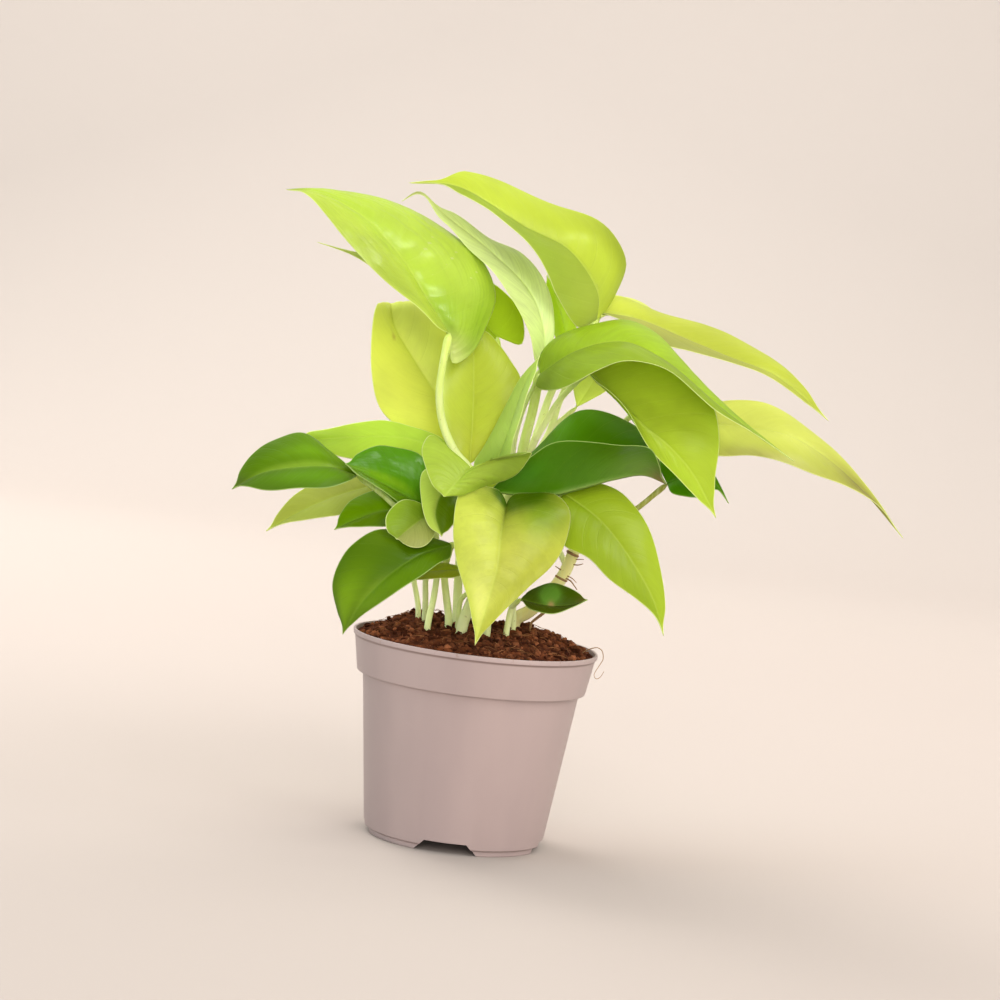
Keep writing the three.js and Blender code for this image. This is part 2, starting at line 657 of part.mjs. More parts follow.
// Filling of the pot, with a crumbly top and a plain hole for each stem
function soilGeometry() {
  const inside = WALL + CONTACT_GAP;
  const floor = PANEL_TOP + CONTACT_GAP;
  const topRadius = RIM_RADIUS - WALL - SOIL_EDGE_GAP;
  const profile = [
    [0, floor], [BODY_FOOT_RADIUS - inside, floor], [BODY_TOP_RADIUS - inside, COLLAR_FOOT + inside],
    [COLLAR_FOOT_RADIUS - inside, COLLAR_FOOT + inside],
  ];
  for (let k = 0; k <= SOIL_RINGS; k += 1) {
    profile.push([topRadius * (1 - k / SOIL_RINGS), SOIL_EDGE_HEIGHT]);
  }
  const geometry = lathe(profile, POT_SIDES);
  const position = geometry.attributes.position;
  for (let i = 0; i < position.count; i += 1) {
    const [x, y, z] = [position.getX(i), position.getY(i), position.getZ(i)];
    if (z > SOIL_EDGE_HEIGHT - 0.01 && Math.hypot(x, y) < topRadius - 0.01) {
      position.setZ(i, soilHeight(x, y) + crumbHeight(x, y));
    }
  }
  let body = solid(geometry);
  for (const [{ radius, ground }] of Object.values(VINES)) {
    const depth = STEM_ROOT_DEPTH + CONTACT_GAP;
    const [x, y] = ground;
    const hole = post(radius + HOLE_CLEARANCE, 2 * depth, HOLE_SIDES, x, y, soilHeight(x, y));
    body = body.subtract(solid(hole));
  }
  return geometryOf(body);
}

// Course of a stem: straight up out of the soil, if it stands there, and on to its blade,
// where it stops at the given distance
function stemPoints({ ground, path, leaf }, distance) {
  const points = vectors(path);
  if (ground) {
    const [x, y] = ground;
    const top = soilHeight(x, y);
    points.unshift(
      new THREE.Vector3(x, y, top - STEM_ROOT_DEPTH),
      new THREE.Vector3(x, y, top + STEM_UPRIGHT_RISE),
    );
  }
  if (leaf) {
    const base = new THREE.Vector3(...BLADES[leaf].rib[0]);
    const back = points[points.length - 1].clone().sub(base);
    points.push(base.add(back.setLength(distance)));
  }
  return points;
}

function stemGeometry(stem, distance) {
  const corners = [];
  for (let k = 0; k < STEM_SIDES; k += 1) {
    const turn = 2 * Math.PI * k / STEM_SIDES;
    corners.push(new THREE.Vector2(stem.radius * Math.cos(turn), stem.radius * Math.sin(turn)));
  }
  const curve = smoothCurve(stemPoints(stem, distance));
  const steps = Math.max(2, Math.round(curve.getLength() / STEM_STEP));
  const options = { steps, bevelEnabled: false, extrudePath: curve };
  return new THREE.ExtrudeGeometry(new THREE.Shape(corners), options);
}

// A stem with a leaf is shortened until it lies the contact gap away from its blade.
function stemSolid(stem) {
  let distance = SEAT_STEP;
  let body = solid(stemGeometry(stem, distance));
  if (stem.leaf) {
    const blade = solid(bladeGeometry(BLADES[stem.leaf]));
    while (body.minGap(blade, 2 * CONTACT_GAP) < CONTACT_GAP) {
      distance += SEAT_STEP;
      body = solid(stemGeometry(stem, distance));
    }
  }
  return body;
}

function vineGeometry(stems) {
  let body = stemSolid(stems[0]);
  for (const branch of stems.slice(1)) {
    body = body.add(stemSolid(branch));
  }
  return geometryOf(body);
}

const group = new THREE.Group();

function add(name, geometry, rgb, roughness) {
  const color = new THREE.Color(...rgb);
  const material = new THREE.MeshStandardMaterial({ color, roughness, metalness: 0 });
  const mesh = new THREE.Mesh(geometry, material);
  mesh.name = name;
  group.add(mesh);
}

add('pot', potGeometry(), POT_COLOR, 0.45);
add('soil', soilGeometry(), SOIL_COLOR, 0.95);
for (const [name, stems] of Object.entries(VINES)) {
  add(name, vineGeometry(stems), PETIOLE_COLOR, 0.45);
}
for (const [name, spec] of Object.entries(BLADES)) {
  add(name, bladeGeometry(spec), spec.color, 0.4);
}

export default group;
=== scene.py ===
"""Looks of the potted golden pothos, in metres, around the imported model."""
import math
import random

import bmesh
import bpy
import numpy as np
from mathutils import Matrix, Vector, noise


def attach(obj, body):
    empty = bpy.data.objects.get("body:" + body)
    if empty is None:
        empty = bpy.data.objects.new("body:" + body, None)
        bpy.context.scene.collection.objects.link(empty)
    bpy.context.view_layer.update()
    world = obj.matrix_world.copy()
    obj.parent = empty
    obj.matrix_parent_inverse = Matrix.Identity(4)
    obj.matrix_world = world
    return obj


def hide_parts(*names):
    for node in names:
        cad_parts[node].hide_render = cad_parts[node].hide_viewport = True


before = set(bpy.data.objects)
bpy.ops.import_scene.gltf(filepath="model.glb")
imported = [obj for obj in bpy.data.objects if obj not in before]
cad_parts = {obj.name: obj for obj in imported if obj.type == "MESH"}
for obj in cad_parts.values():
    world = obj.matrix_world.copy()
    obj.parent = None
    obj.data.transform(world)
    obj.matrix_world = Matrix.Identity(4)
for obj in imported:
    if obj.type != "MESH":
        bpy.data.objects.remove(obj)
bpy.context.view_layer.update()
MM = 0.001
rng = random.Random(7)

# Pot sizes in mm, as in the CAD model
POT_HEIGHT = 82
RIM_RADIUS = 50
COLLAR_FOOT = 65.3
COLLAR_FOOT_RADIUS = 46.8
BODY_TOP_RADIUS = 44.4
BODY_FOOT_RADIUS = 36.8
FOOT_RADIUS = 35.3
WALL = 1.1
PANEL_UNDERSIDE = 4.2
PANEL_TOP = 5.4
GATE_BOSS_RADIUS = 6
NOTCH_DEGREES = (-94, -4, 86, 176)
NOTCH_HEIGHT = 4.6
NOTCH_FOOT_HALF = 13.6
NOTCH_TOP_HALF = 8.5
DRAIN_RADIUS = 4
DRAIN_RING_RADIUS = 25
SOIL_EDGE_HEIGHT = 80.5
SOIL_MOUND = 6
SOIL_HEAPS = [(-24, 24, 5, 16), (22, 18, 3.5, 18)]
STEM_ROOT_DEPTH = 14
STEM_UPRIGHT_RISE = 2.5

# Blade form, as in the CAD model
BLADE_ARCH = 0.08
RIB_SPACING_POWER = 1.15
MARGIN_WAVE = 0.035
WAVES_ALONG = 2.5
RIGHT_WAVE_SHIFT = 2

# Each leaf: its midrib, from petiole to tip, its left and its right margin, in mm, then the colours of
# its left and right halves from above and of its underside, as 8-bit sRGB, and its patches. A patch
# is (along, across, reach along, reach across, colour, strength), and lies on the top face unless it
# names another.
LEAVES = {
    "top_left": (
        [(-25, -15, 205), (-36, -20, 219), (-48, -25, 234), (-64, -25, 247), (-83, -22, 254),
         (-96, -20, 254)],
        [(-30, -24, 207), (-39, -32, 215), (-58, -38, 227), (-78, -34, 246), (-88, -26, 253)],
        [(-22, -6, 193), (-14, -4, 199), (-10, 0, 211), (-9, 4, 221), (-17, 6, 236), (-35, 6, 249),
         (-53, 0, 254), (-88, -16, 256)],
        (0xC4D854, 0xBCD44C, 0xC6D47A), [(0.4, -0.75, 0.3, 0.35, 0xA8BC40, 0.8),
         (0.16, 0.25, 0.14, 0.28, 0x96BE22, 0.75), (0.22, 0.85, 0.14, 0.3, 0x92B622, 0.7),
         (0.6, -0.1, 0.3, 0.25, 0xACCA38, 0.5), (1, 0, 0.05, 1, 0x788C1E, 0.8, "both"),
         (0.04, 0.9, 0.085, 0.6, 0xD8E296, 2.2)],
    ),
    "left_yellow": (
        [(-15, 20, 157), (-24, 24, 173), (-38, 28, 190), (-49, 32, 204), (-52, 40, 213), (-50, 56, 204),
         (-47, 62, 188)],
        [(-30, 16, 159), (-49, 17, 169), (-56, 20, 185), (-58, 26, 205), (-57, 36, 213), (-54, 54, 202)],
        [(-9, 30, 166), (-16, 34, 188), (-28, 36, 206), (-42, 42, 215), (-44, 56, 204)],
        (0xE2E968, 0xEAF280, 0xC6D068), [(0.3, -0.5, 0.2, 0.5, 0xF0F470, 0.7),
         (0.66, -0.25, 0.1, 1.2, 0xCED85C, 0.6), (0.89, -0.25, 0.009, 0.035, 0xA0783C, 0.8, "both"),
         (0.55, -0.27, 0.009, 0.035, 0xA0783C, 0.8, "both"), (0.72, -0.75, 0.03, 0.1, 0xB0B242, 0.6)],
    ),
    "centre": (
        [(-11, -4, 153), (-12, 2, 172), (-14, 6, 192), (-17, 12, 211)],
        [(-16, -6, 156), (-21, -4, 163), (-26, -2, 178), (-26, 2, 190), (-22, 8, 203)],
        [(-4, 0, 160), (5, 4, 176), (6, 8, 189), (0, 10, 197), (-9, 12, 206)],
        (0xC4D04A, 0xBECA40, 0xBAC85C), [(0.35, -1, 0.5, 0.14, 0xE4F096, 0.9, "both"),
         (0.15, 0, 0.15, 0.8, 0xD0D44C, 0.6)],
    ),
    "centre_edge": (
        [(-2, -14, 149), (3, -14, 168), (7, -16, 187), (12, -19, 201)],
        [(-9, -10, 153), (-6, -6, 162), (-1, -5, 173), (4, -11, 188)],
        [(4, -20, 156), (6, -24, 168), (8, -23, 181), (11, -22, 193)],
        (0xC4DC6A, 0xCAE270, 0xBCD65E), [(0.08, 0, 0.22, 1, 0x7CA016, 0.85, "both"),
         (0.6, 0.5, 0.2, 0.4, 0xCEE296, 0.5, "both")],
    ),
    "back_left": (
        [(-6, 22, 205), (-28, 28, 222), (-58, 30, 230), (-85, 30, 235)],
        [(-10, 20, 200), (-22, 22, 207), (-42, 26, 218), (-63, 29, 228)],
        [(4, 24, 203), (5, 26, 208), (2, 28, 217), (-6, 30, 224), (-14, 32, 228), (-36, 34, 236),
         (-64, 32, 233)],
        (0xAEC828, 0xB2CC2A, 0xC4CE78), [(0.9, 0, 0.3, 1, 0xAAB26E, 0.7, "both")],
    ),
    "pale_arch": (
        [(13, 8, 194), (13, 8, 208), (6, 10, 224), (-12, 9, 239), (-33, 6, 252), (-44, 4, 260),
         (-51, 2, 255)],
        [(10, 2, 198), (7, 0, 208), (2, -2, 217), (-5, -2, 225), (-12, -2, 232), (-21, 0, 239),
         (-33, 3, 249)],
        [(17, 12, 205), (15, 18, 221), (8, 20, 233), (-1, 20, 241), (-14, 16, 245), (-32, 9, 254)],
        (0xD4E298, 0xE0EEB2, 0xC8D88C), [(0.8, 0, 0.22, 1, 0xBECC74, 0.8, "both"),
         (1, 0, 0.1, 1, 0x969654, 0.9, "both"), (0.45, 0.3, 0.12, 0.5, 0xC4D484, 0.7),
         (0.25, 0.75, 0.12, 0.35, 0xE8F2BE, 0.8), (0.1, 0, 0.12, 1, 0xDEEEA8, 0.7, "both")],
    ),
    "top_yellow": (
        [(34, 24, 217), (33, 22, 228), (19, 18, 244), (0, 14, 251), (-29, 8, 264), (-49, 4, 263)],
        [(26, 16, 213), (17, 8, 224), (11, 4, 234), (4, 2, 242), (-6, 2, 250), (-17, 3, 257), (-37, 5, 263)],
        [(40, 34, 226), (44, 36, 241), (39, 36, 250), (30, 36, 257), (12, 34, 262), (-13, 28, 269),
         (-37, 12, 270), (-46, 6, 266)],
        (0xA4B83C, 0xC4D442, 0xB0BC50), [(0.26, 0.95, 0.12, 0.4, 0x8E9C1E, 0.85),
         (0.14, -0.5, 0.12, 0.7, 0xB4C648, 0.7), (0.5, -0.7, 0.2, 0.4, 0x96AE34, 0.6),
         (1, 0, 0.07, 1, 0x969E46, 0.6, "both")],
    ),
    "wedge": (
        [(24, 30, 202), (21, 32, 212), (16, 34, 224), (11, 36, 233)],
        [(18, 36, 207), (15, 40, 214), (12, 38, 225)],
        [(27, 26, 210), (23, 28, 218), (16, 32, 228)],
        (0xBCDA24, 0xC6E42C, 0xD4E85C), [(0.4, 0.8, 0.3, 0.5, 0xDEF054, 0.6)],
    ),
    "right_arch": (
        [(13, -6, 193), (26, -14, 204), (44, -18, 210), (60, -18, 205), (84, -16, 190), (119, -12, 170)],
        [(12, 2, 198), (14, 4, 203), (21, 8, 210), (35, 10, 217), (45, 10, 219), (56, 6, 215), (69, 0, 205),
         (96, -8, 184)],
        [(12, -10, 188), (21, -28, 189), (36, -37, 198), (44, -38, 202), (54, -36, 203), (64, -32, 201),
         (84, -22, 187), (100, -16, 180)],
        (0xAECE28, 0x98B22A, 0x96AC36), [(0.05, 0, 0.14, 1, 0x8AA62E, 0.8),
         (0.5, -0.5, 0.25, 0.6, 0xA8C828, 0.7), (0.1, 0.9, 0.1, 0.4, 0x8EA642, 0.8),
         (0.9, 0, 0.2, 1, 0x96B232, 0.6)],
    ),
    "right_olive": (
        [(32, -8, 196), (48, -12, 184), (57, -14, 177), (67, -15, 171), (78, -15, 161), (90, -14, 144)],
        [(36, -16, 193), (41, -18, 190), (48, -20, 184), (53, -21, 178), (60, -21, 169), (73, -20, 158),
         (83, -17, 150)],
        [(42, 0, 203), (58, 0, 204), (72, -2, 197), (83, -4, 189), (88, -8, 175), (88, -11, 158)],
        # The first patch is a painted shadow of the arching leaf above, across the top of the blade.
        (0xD4F042, 0xC8E21E, 0xB6CA36), [(0.08, 0.2, 0.12, 1.2, 0x96AA1A, 0.8),
         (0.42, 0.5, 0.12, 0.7, 0xA8C60E, 0.6), (0.75, 0.5, 0.2, 0.6, 0xA6C024, 0.8),
         (1, 0, 0.05, 1, 0xC4CE3C, 0.6, "both")],
    ),
    "far_right_top": (
        [(35, 36, 220), (52, 38, 219), (70, 40, 214), (90, 40, 208), (112, 42, 202), (136, 42, 186)],
        [(40, 46, 227), (62, 54, 223), (78, 56, 220), (96, 56, 215), (111, 52, 209), (123, 46, 200)],
        [(50, 28, 216), (61, 28, 210), (74, 30, 208), (91, 32, 206), (104, 34, 203), (117, 38, 197)],
        (0xC2CC46, 0xB4B854, 0xA6AC48), [(0.85, 0.3, 0.25, 0.8, 0xC0CC42, 0.8),
         (0.3, 0.8, 0.3, 0.3, 0xA8AC60, 0.7), (0.1, -0.4, 0.12, 0.6, 0xD6E054, 0.7)],
    ),
    "back_top": (
        [(32, 52, 214), (43, 66, 227), (56, 84, 222), (63, 98, 208)],
        [(26, 62, 216), (32, 78, 224), (46, 94, 218)],
        [(40, 52, 220), (54, 62, 224), (64, 80, 218)],
        (0xD6DE70, 0xD6DE72, 0xCED86E), [(0.5, 0, 0.3, 0.6, 0xCCD65C, 0.5)],
    ),
    "far_right": (
        [(77, 8, 180), (96, 8, 181), (116, 6, 180), (134, 6, 172), (152, 8, 159), (169, 10, 143)],
        [(84, 18, 187), (90, 20, 190), (104, 22, 192), (112, 20, 190), (126, 16, 182), (139, 12, 174),
         (153, 10, 161)],
        [(80, -4, 171), (88, -6, 169), (101, -8, 170), (114, -8, 169), (128, -6, 166), (142, 0, 162),
         (157, 6, 155)],
        (0xD2DA62, 0xCCD55C, 0xAEAC60), [(0.45, 0.1, 0.15, 0.4, 0xDAE26E, 0.7),
         (0.78, 0.35, 0.17, 1.0, 0x928C48, 1), (0.35, 0.95, 0.2, 0.2, 0xBEBA6E, 0.7)],
    ),
    "dark_boat": (
        [(-1, -18, 145), (19, -20, 145), (34, -20, 150), (47, -18, 155), (59, -14, 158), (69, -10, 155)],
        [(6, -8, 152), (17, 2, 166), (24, 6, 174), (32, 8, 179), (44, 8, 180), (56, 4, 176), (63, -4, 168)],
        [(4, -26, 152), (13, -32, 161), (21, -34, 167), (36, -34, 170), (48, -32, 170), (60, -26, 169),
         (65, -18, 162)],
        # The first patch is a painted highlight on the far wall and the second is painted shade towards its
        # tip; the fourth is a painted highlight on the underside of the near wall.
        (0x528200, 0x528202, 0x4A7C04), [(0.45, -0.8, 0.12, 0.5, 0x64A410, 0.9),
         (0.75, -0.5, 0.3, 0.5, 0x3C6800, 0.6), (0.9, 0.3, 0.24, 0.55, 0x688C32, 1.2, "under"),
         (0.2, 0.55, 0.14, 0.3, 0x549628, 0.7, "under"), (0.5, 0, 0.7, 0.04, 0x8CAA54, 1.1, "under"),
         (0.98, 0, 0.08, 1.5, 0x806E42, 1.1, "both")],
    ),
    "dark_right": (
        [(70, 8, 154), (76, 8, 158), (84, 8, 158), (90, 8, 156), (96, 8, 149)],
        [(66, 14, 162), (72, 18, 168), (82, 16, 168), (90, 12, 160)],
        [(72, 2, 151), (79, 0, 150), (84, 2, 151), (90, 6, 153)],
        (0x589404, 0x508E04, 0x72A01C), [],
    ),
    "front_yellow": (
        [(6, -28, 140), (5, -41, 131), (5, -50, 118), (3, -55, 104), (0, -58, 87)],
        [(8, -26, 144.5), (16, -25.5, 146), (25, -27, 147), (31, -31, 142), (31, -36, 131), (27, -42, 121),
         (18, -50, 111), (7, -56, 98)],
        [(2, -28, 146), (-7, -29, 147), (-13, -34, 144), (-14, -44, 131), (-11, -50, 118), (-4, -55, 102)],
        # The first four patches are painted shadow, cast by the dark boat leaf above over the foot of the
        # blade and into the wedge beside its notch.
        (0xC2C74A, 0xD0DA58, 0xBCC662), [(0.3, -0.6, 0.12, 0.5, 0x86A608, 0.9),
         (0.2, 0.6, 0.06, 0.3, 0xA0B432, 0.6), (0.12, -0.6, 0.12, 0.45, 0x507002, 2.2),
         (0.07, 0.6, 0.07, 0.5, 0x486C02, 1.8), (0.55, 0.4, 0.25, 0.5, 0xDEE468, 0.6),
         (0.45, -0.2, 0.2, 0.2, 0xCCCE58, 0.6), (0.78, 0.35, 0.15, 0.4, 0xECEE8A, 0.8)],
    ),
    "right_lower": (
        [(28, -14, 147), (44, -20, 138), (58, -26, 124), (68, -28, 110), (74, -30, 96)],
        [(32, -8, 151), (44, -8, 152), (51, -10, 150), (58, -14, 144), (64, -18, 136), (69, -22, 125),
         (73, -26, 110)],
        [(24, -20, 138), (30, -24, 127), (41, -28, 123), (50, -30, 116), (62, -30, 109), (69, -30, 104)],
        (0xAEC42C, 0xA2BA26, 0xA4B83C), [(0.15, 0, 0.16, 0.8, 0x8EAA1A, 0.7),
         (0.55, 0.4, 0.25, 0.5, 0xA0B628, 0.6), (0.8, -0.4, 0.2, 0.5, 0xB6CC34, 0.6)],
    ),
    "cup": (
        [(-10, -34, 154), (-14, -39, 149), (-19, -44, 142)],
        [(2, -42, 159), (12, -46, 164), (13, -40, 161), (8, -34, 153), (-4, -34, 147), (-12, -38, 143)],
        [(-17, -30, 159), (-27, -26, 164), (-30, -32, 160), (-27, -40, 151), (-23, -44, 145)],
        (0xB4CE46, 0xB2CA46, 0x96AE40), [(0.4, -0.8, 0.4, 0.4, 0x88A03E, 0.7, "both"),
         (0.7, -0.2, 0.3, 0.3, 0xACC446, 0.6, "both")],
    ),
    "shadow": (
        [(-15, -18, 148), (-20, -24, 143), (-22, -29, 134), (-18, -32, 125)],
        [(-11, -18, 146), (-12, -24, 139), (-14, -29, 131)],
        [(-22, -16, 152), (-29, -20, 149), (-28, -27, 138), (-24, -31, 129)],
        # The dark colour of the left half and the patch are painted shade: that half lies in the shadow of
        # the cup leaf above.
        (0x709006, 0xCCE25C, 0x90B428), [(0.8, -0.3, 0.4, 0.4, 0x547000, 0.8)],
    ),
    "left_lime": (
        [(-18, 2, 156), (-38, 8, 160), (-58, 10, 158), (-74, 8, 155), (-84, 6, 153)],
        [(-24, 2, 152), (-40, 4, 150), (-58, 6, 149), (-74, 6, 151)],
        [(-24, 8, 162), (-38, 11, 165), (-48, 12, 166), (-58, 12, 164), (-70, 10, 160), (-80, 6, 157)],
        (0xBEDA4A, 0xC4E050, 0xBAD058), [(0.85, 0, 0.2, 1, 0x9CBE3A, 0.6),
         (0.1, 0.2, 0.14, 0.6, 0xA0BE36, 0.6)],
    ),
    "far_left_dark": (
        [(-55, -14, 144), (-67, -22, 147), (-80, -22, 145), (-93, -22, 141), (-104, -20, 133)],
        [(-58, -26, 142), (-66, -30, 139), (-78, -30, 137), (-90, -28, 135), (-99, -24, 135)],
        [(-61, -14, 149), (-68, -10, 153), (-80, -8, 158), (-91, -10, 154), (-98, -14, 147),
         (-102, -18, 140)],
        # The third patch is painted shade along the sharply curved upper margin.
        (0x507016, 0x567A00, 0x5D7616), [(0.5, 0.02, 0.3, 0.1, 0x8CAC32, 0.85),
         (0.42, 0.4, 0.2, 0.2, 0x709C12, 0.8), (0.2, 0.85, 0.26, 0.3, 0x628A00, 1.1),
         (0.45, -0.5, 0.3, 0.4, 0x64940E, 0.8), (0.7, 0.8, 0.2, 0.4, 0x466804, 0.6),
         (0.95, 0, 0.08, 1, 0x546228, 0.7, "both")],
    ),
    "left_olive": (
        [(-48, 4, 140), (-62, 8, 134), (-76, 10, 126), (-91, 10, 115)],
        [(-52, 0, 131), (-61, 2, 126), (-75, 6, 122), (-84, 8, 119)],
        [(-52, 12, 145), (-64, 16, 143), (-79, 15, 133), (-85, 12, 126)],
        (0xB4C056, 0xBAC454, 0xB4C15A), [(0.35, 0.4, 0.3, 0.5, 0xC0C66C, 0.5, "both")],
    ),
    "left_small": (
        [(-33, -10, 133), (-44, -12, 131), (-54, -12, 126), (-62, -12, 121)],
        [(-36, -14, 127), (-42, -16, 125), (-50, -16, 124), (-56, -15, 123)],
        [(-38, -6, 138), (-48, -4, 138), (-56, -6, 134), (-60, -9, 128)],
        (0x587800, 0x668E00, 0x6C8810), [(0.3, 0.4, 0.3, 0.4, 0x628C00, 0.6)],
    ),
    "dark_gloss": (
        [(-25, -14, 134), (-38, -17, 140), (-50, -22, 145), (-60, -25, 149)],
        [(-29, -18, 131), (-36, -20, 135), (-46, -23, 141), (-56, -25, 146)],
        [(-24, -10, 142), (-27, -7, 150), (-32, -6, 155), (-40, -8, 157), (-48, -13, 157), (-56, -20, 153)],
        (0x618A02, 0x528C04, 0x789418), [(0.45, 0.12, 0.5, 0.1, 0x84AE18, 0.8),
         (0.25, 0.6, 0.16, 0.5, 0x68A61E, 0.7), (0.12, 0.2, 0.14, 0.4, 0x366400, 0.7)],
    ),
    "round_lobe": (
        [(-24, -22, 133), (-30, -27, 128), (-36, -31, 122)],
        [(-21, -27, 127), (-24, -32, 121), (-30, -34, 120)],
        [(-29, -22, 137), (-36, -24, 137), (-41, -27, 131), (-40, -31, 125)],
        (0xB0BA5C, 0x96B42C, 0x96AE3C), [(0.2, 0.3, 0.3, 0.5, 0x6E9014, 0.7),
         (0.7, -0.6, 0.4, 0.5, 0xB2B464, 0.7)],
    ),
    "lower_left": (
        [(-14, -24, 122), (-26, -32, 117), (-38, -36, 107), (-47, -34, 95), (-53, -26, 81)],
        [(-14, -30, 117), (-18, -36, 115), (-25, -40, 109), (-32, -40, 103), (-41, -36, 95), (-48, -30, 88)],
        [(-20, -19, 123), (-33, -19, 124), (-44, -24, 124), (-51, -28, 120), (-56, -30, 114),
         (-59, -30, 102), (-56, -28, 90)],
        (0x5C8002, 0x4A6C00, 0x647D16), [(0.68, 0.04, 0.14, 0.06, 0x7C9A24, 0.85),
         (0.8, 0.45, 0.2, 0.4, 0x7AA010, 1.1), (0.3, -0.1, 0.3, 0.2, 0x426600, 0.6),
         (0.3, 0.8, 0.2, 0.4, 0x648008, 0.6), (0.75, -0.5, 0.25, 0.5, 0x709616, 0.6)],
    ),
    "low_back": (
        [(-6, -12, 112), (-18, -15, 110), (-30, -17, 108), (-38, -18, 106)],
        [(-8, -20, 110), (-20, -24, 107), (-32, -22, 106)],
        [(-10, -6, 112), (-22, -7, 112), (-32, -11, 109)],
        (0x9EAA0E, 0xA5B410, 0x9CB018), [],
    ),
    "soil_curl": (
        [(16, -10, 102), (26, -12, 101), (36, -12, 102), (43, -11, 105)],
        [(20, -6, 106), (26, -5, 109), (34, -7, 109)],
        [(20, -15, 99), (28, -17, 98), (36, -16, 101)],
        (0x465C06, 0x465406, 0x5C6418), [(0.47, -0.45, 0.11, 0.35, 0x64922E, 3),
         (1, 0, 0.12, 1, 0x785C32, 0.8, "both"), (0.5, 0.02, 0.04, 0.16, 0xB08C5C, 1.1)],
    ),
    "back_small": (
        [(30, 26, 180), (34, 26, 188), (37, 26, 196), (36, 26, 204)],
        [(28, 24, 186), (27, 24, 192), (32, 24, 200)],
        [(40, 28, 187), (45, 28, 192), (41, 28, 200)],
        (0xE4F280, 0xE8F486, 0xDCEC7A), [],
    ),
    "rear_low_left": (
        [(-14, 28, 128), (-24, 42, 130), (-33, 58, 124), (-38, 74, 110)],
        [(-24, 26, 124), (-36, 36, 123), (-42, 50, 118), (-42, 64, 112)],
        [(-8, 36, 128), (-8, 50, 128), (-18, 64, 121), (-30, 72, 113)],
        (0xB2CE40, 0xACCA3A, 0xA4BA4C), [(0.2, 0, 0.2, 0.6, 0x96B628, 0.6)],
    ),
    "rear_low_right": (
        [(26, 28, 128), (36, 42, 130), (46, 56, 124), (54, 70, 112)],
        [(18, 36, 128), (22, 50, 128), (34, 62, 121), (46, 69, 115)],
        [(36, 26, 124), (48, 36, 124), (54, 50, 119), (55, 62, 114)],
        (0x588206, 0x527C04, 0x6A881E), [(0.45, 0, 0.4, 0.12, 0x7AA424, 0.7)],
    ),
    "rear_middle": (
        [(4, 36, 144), (4, 52, 149), (4, 70, 145), (2, 88, 130)],
        [(-6, 34, 140), (-16, 46, 143), (-14, 62, 141), (-6, 78, 135)],
        [(14, 34, 141), (23, 48, 144), (20, 64, 141), (10, 79, 135)],
        (0xC4D646, 0xBCD040, 0xB2C454), [(0.2, 0, 0.2, 0.6, 0xA4BE2C, 0.6)],
    ),
    "rear_high": (
        [(-6, 36, 176), (-12, 50, 184), (-18, 68, 182), (-20, 86, 168)],
        [(-16, 34, 174), (-30, 42, 177), (-34, 58, 174), (-28, 74, 170)],
        [(0, 42, 178), (4, 54, 182), (-2, 70, 178), (-12, 81, 171)],
        (0xB8D244, 0xB2CE3E, 0xACC052), [(0.2, 0, 0.2, 0.6, 0x9CBA2C, 0.6)],
    ),
    "rear_right": (
        [(38, 36, 166), (48, 50, 173), (58, 66, 168), (66, 80, 154)],
        [(28, 42, 168), (30, 58, 173), (44, 72, 167), (58, 79, 158)],
        [(46, 34, 164), (60, 42, 166), (68, 56, 163), (69, 69, 158)],
        (0xD0DC56, 0xC8D650, 0xBECA5A), [(0.2, 0, 0.2, 0.6, 0xB4C83C, 0.6)],
    ),
}

DARK_LEAVES = {
    "dark_boat", "dark_right", "far_left_dark", "left_small", "dark_gloss", "lower_left", "soil_curl",
    "rear_low_right",
}
# Streaks that follow the crease noise of the relief, darker in its valleys and lighter on its ridges: partly
# the leaf's own vein streaks and partly painted shade and light of the quilting
PLAIN_STREAKS_AND_CREASE_SHADE = 0.12
STREAKS_AND_CREASE_SHADE = {"pale_arch": 0.5, "right_arch": 0.35, "cup": 0.3, "round_lobe": 0.4}
MOTTLES = {"front_yellow": 0.06}

STEM_PALE = 0xEEF2B6
STEM_GREEN = 0xCCDE68


def soil_height(x, y):
    r = math.hypot(x, y) / RIM_RADIUS
    height = SOIL_EDGE_HEIGHT + SOIL_MOUND * (1 - r * r)
    for hx, hy, rise, spread in SOIL_HEAPS:
        away = math.hypot(x - hx, y - hy) / spread
        height += rise * math.exp(-away * away) * (1 - r**6)
    return height


def stem(radius, leaf, *path, ground=None, start=STEM_PALE, end=STEM_GREEN):
    """A stem in mm, from under the soil where it is rooted to the foot of its leaf, and its colours."""
    points = list(path)
    if ground:
        x, y = ground
        top = soil_height(x, y)
        points = [(x, y, top - STEM_ROOT_DEPTH), (x, y, top + STEM_UPRIGHT_RISE)] + points
    if leaf:
        points.append(LEAVES[leaf][0][0])
    return radius, points, bool(leaf), start, end


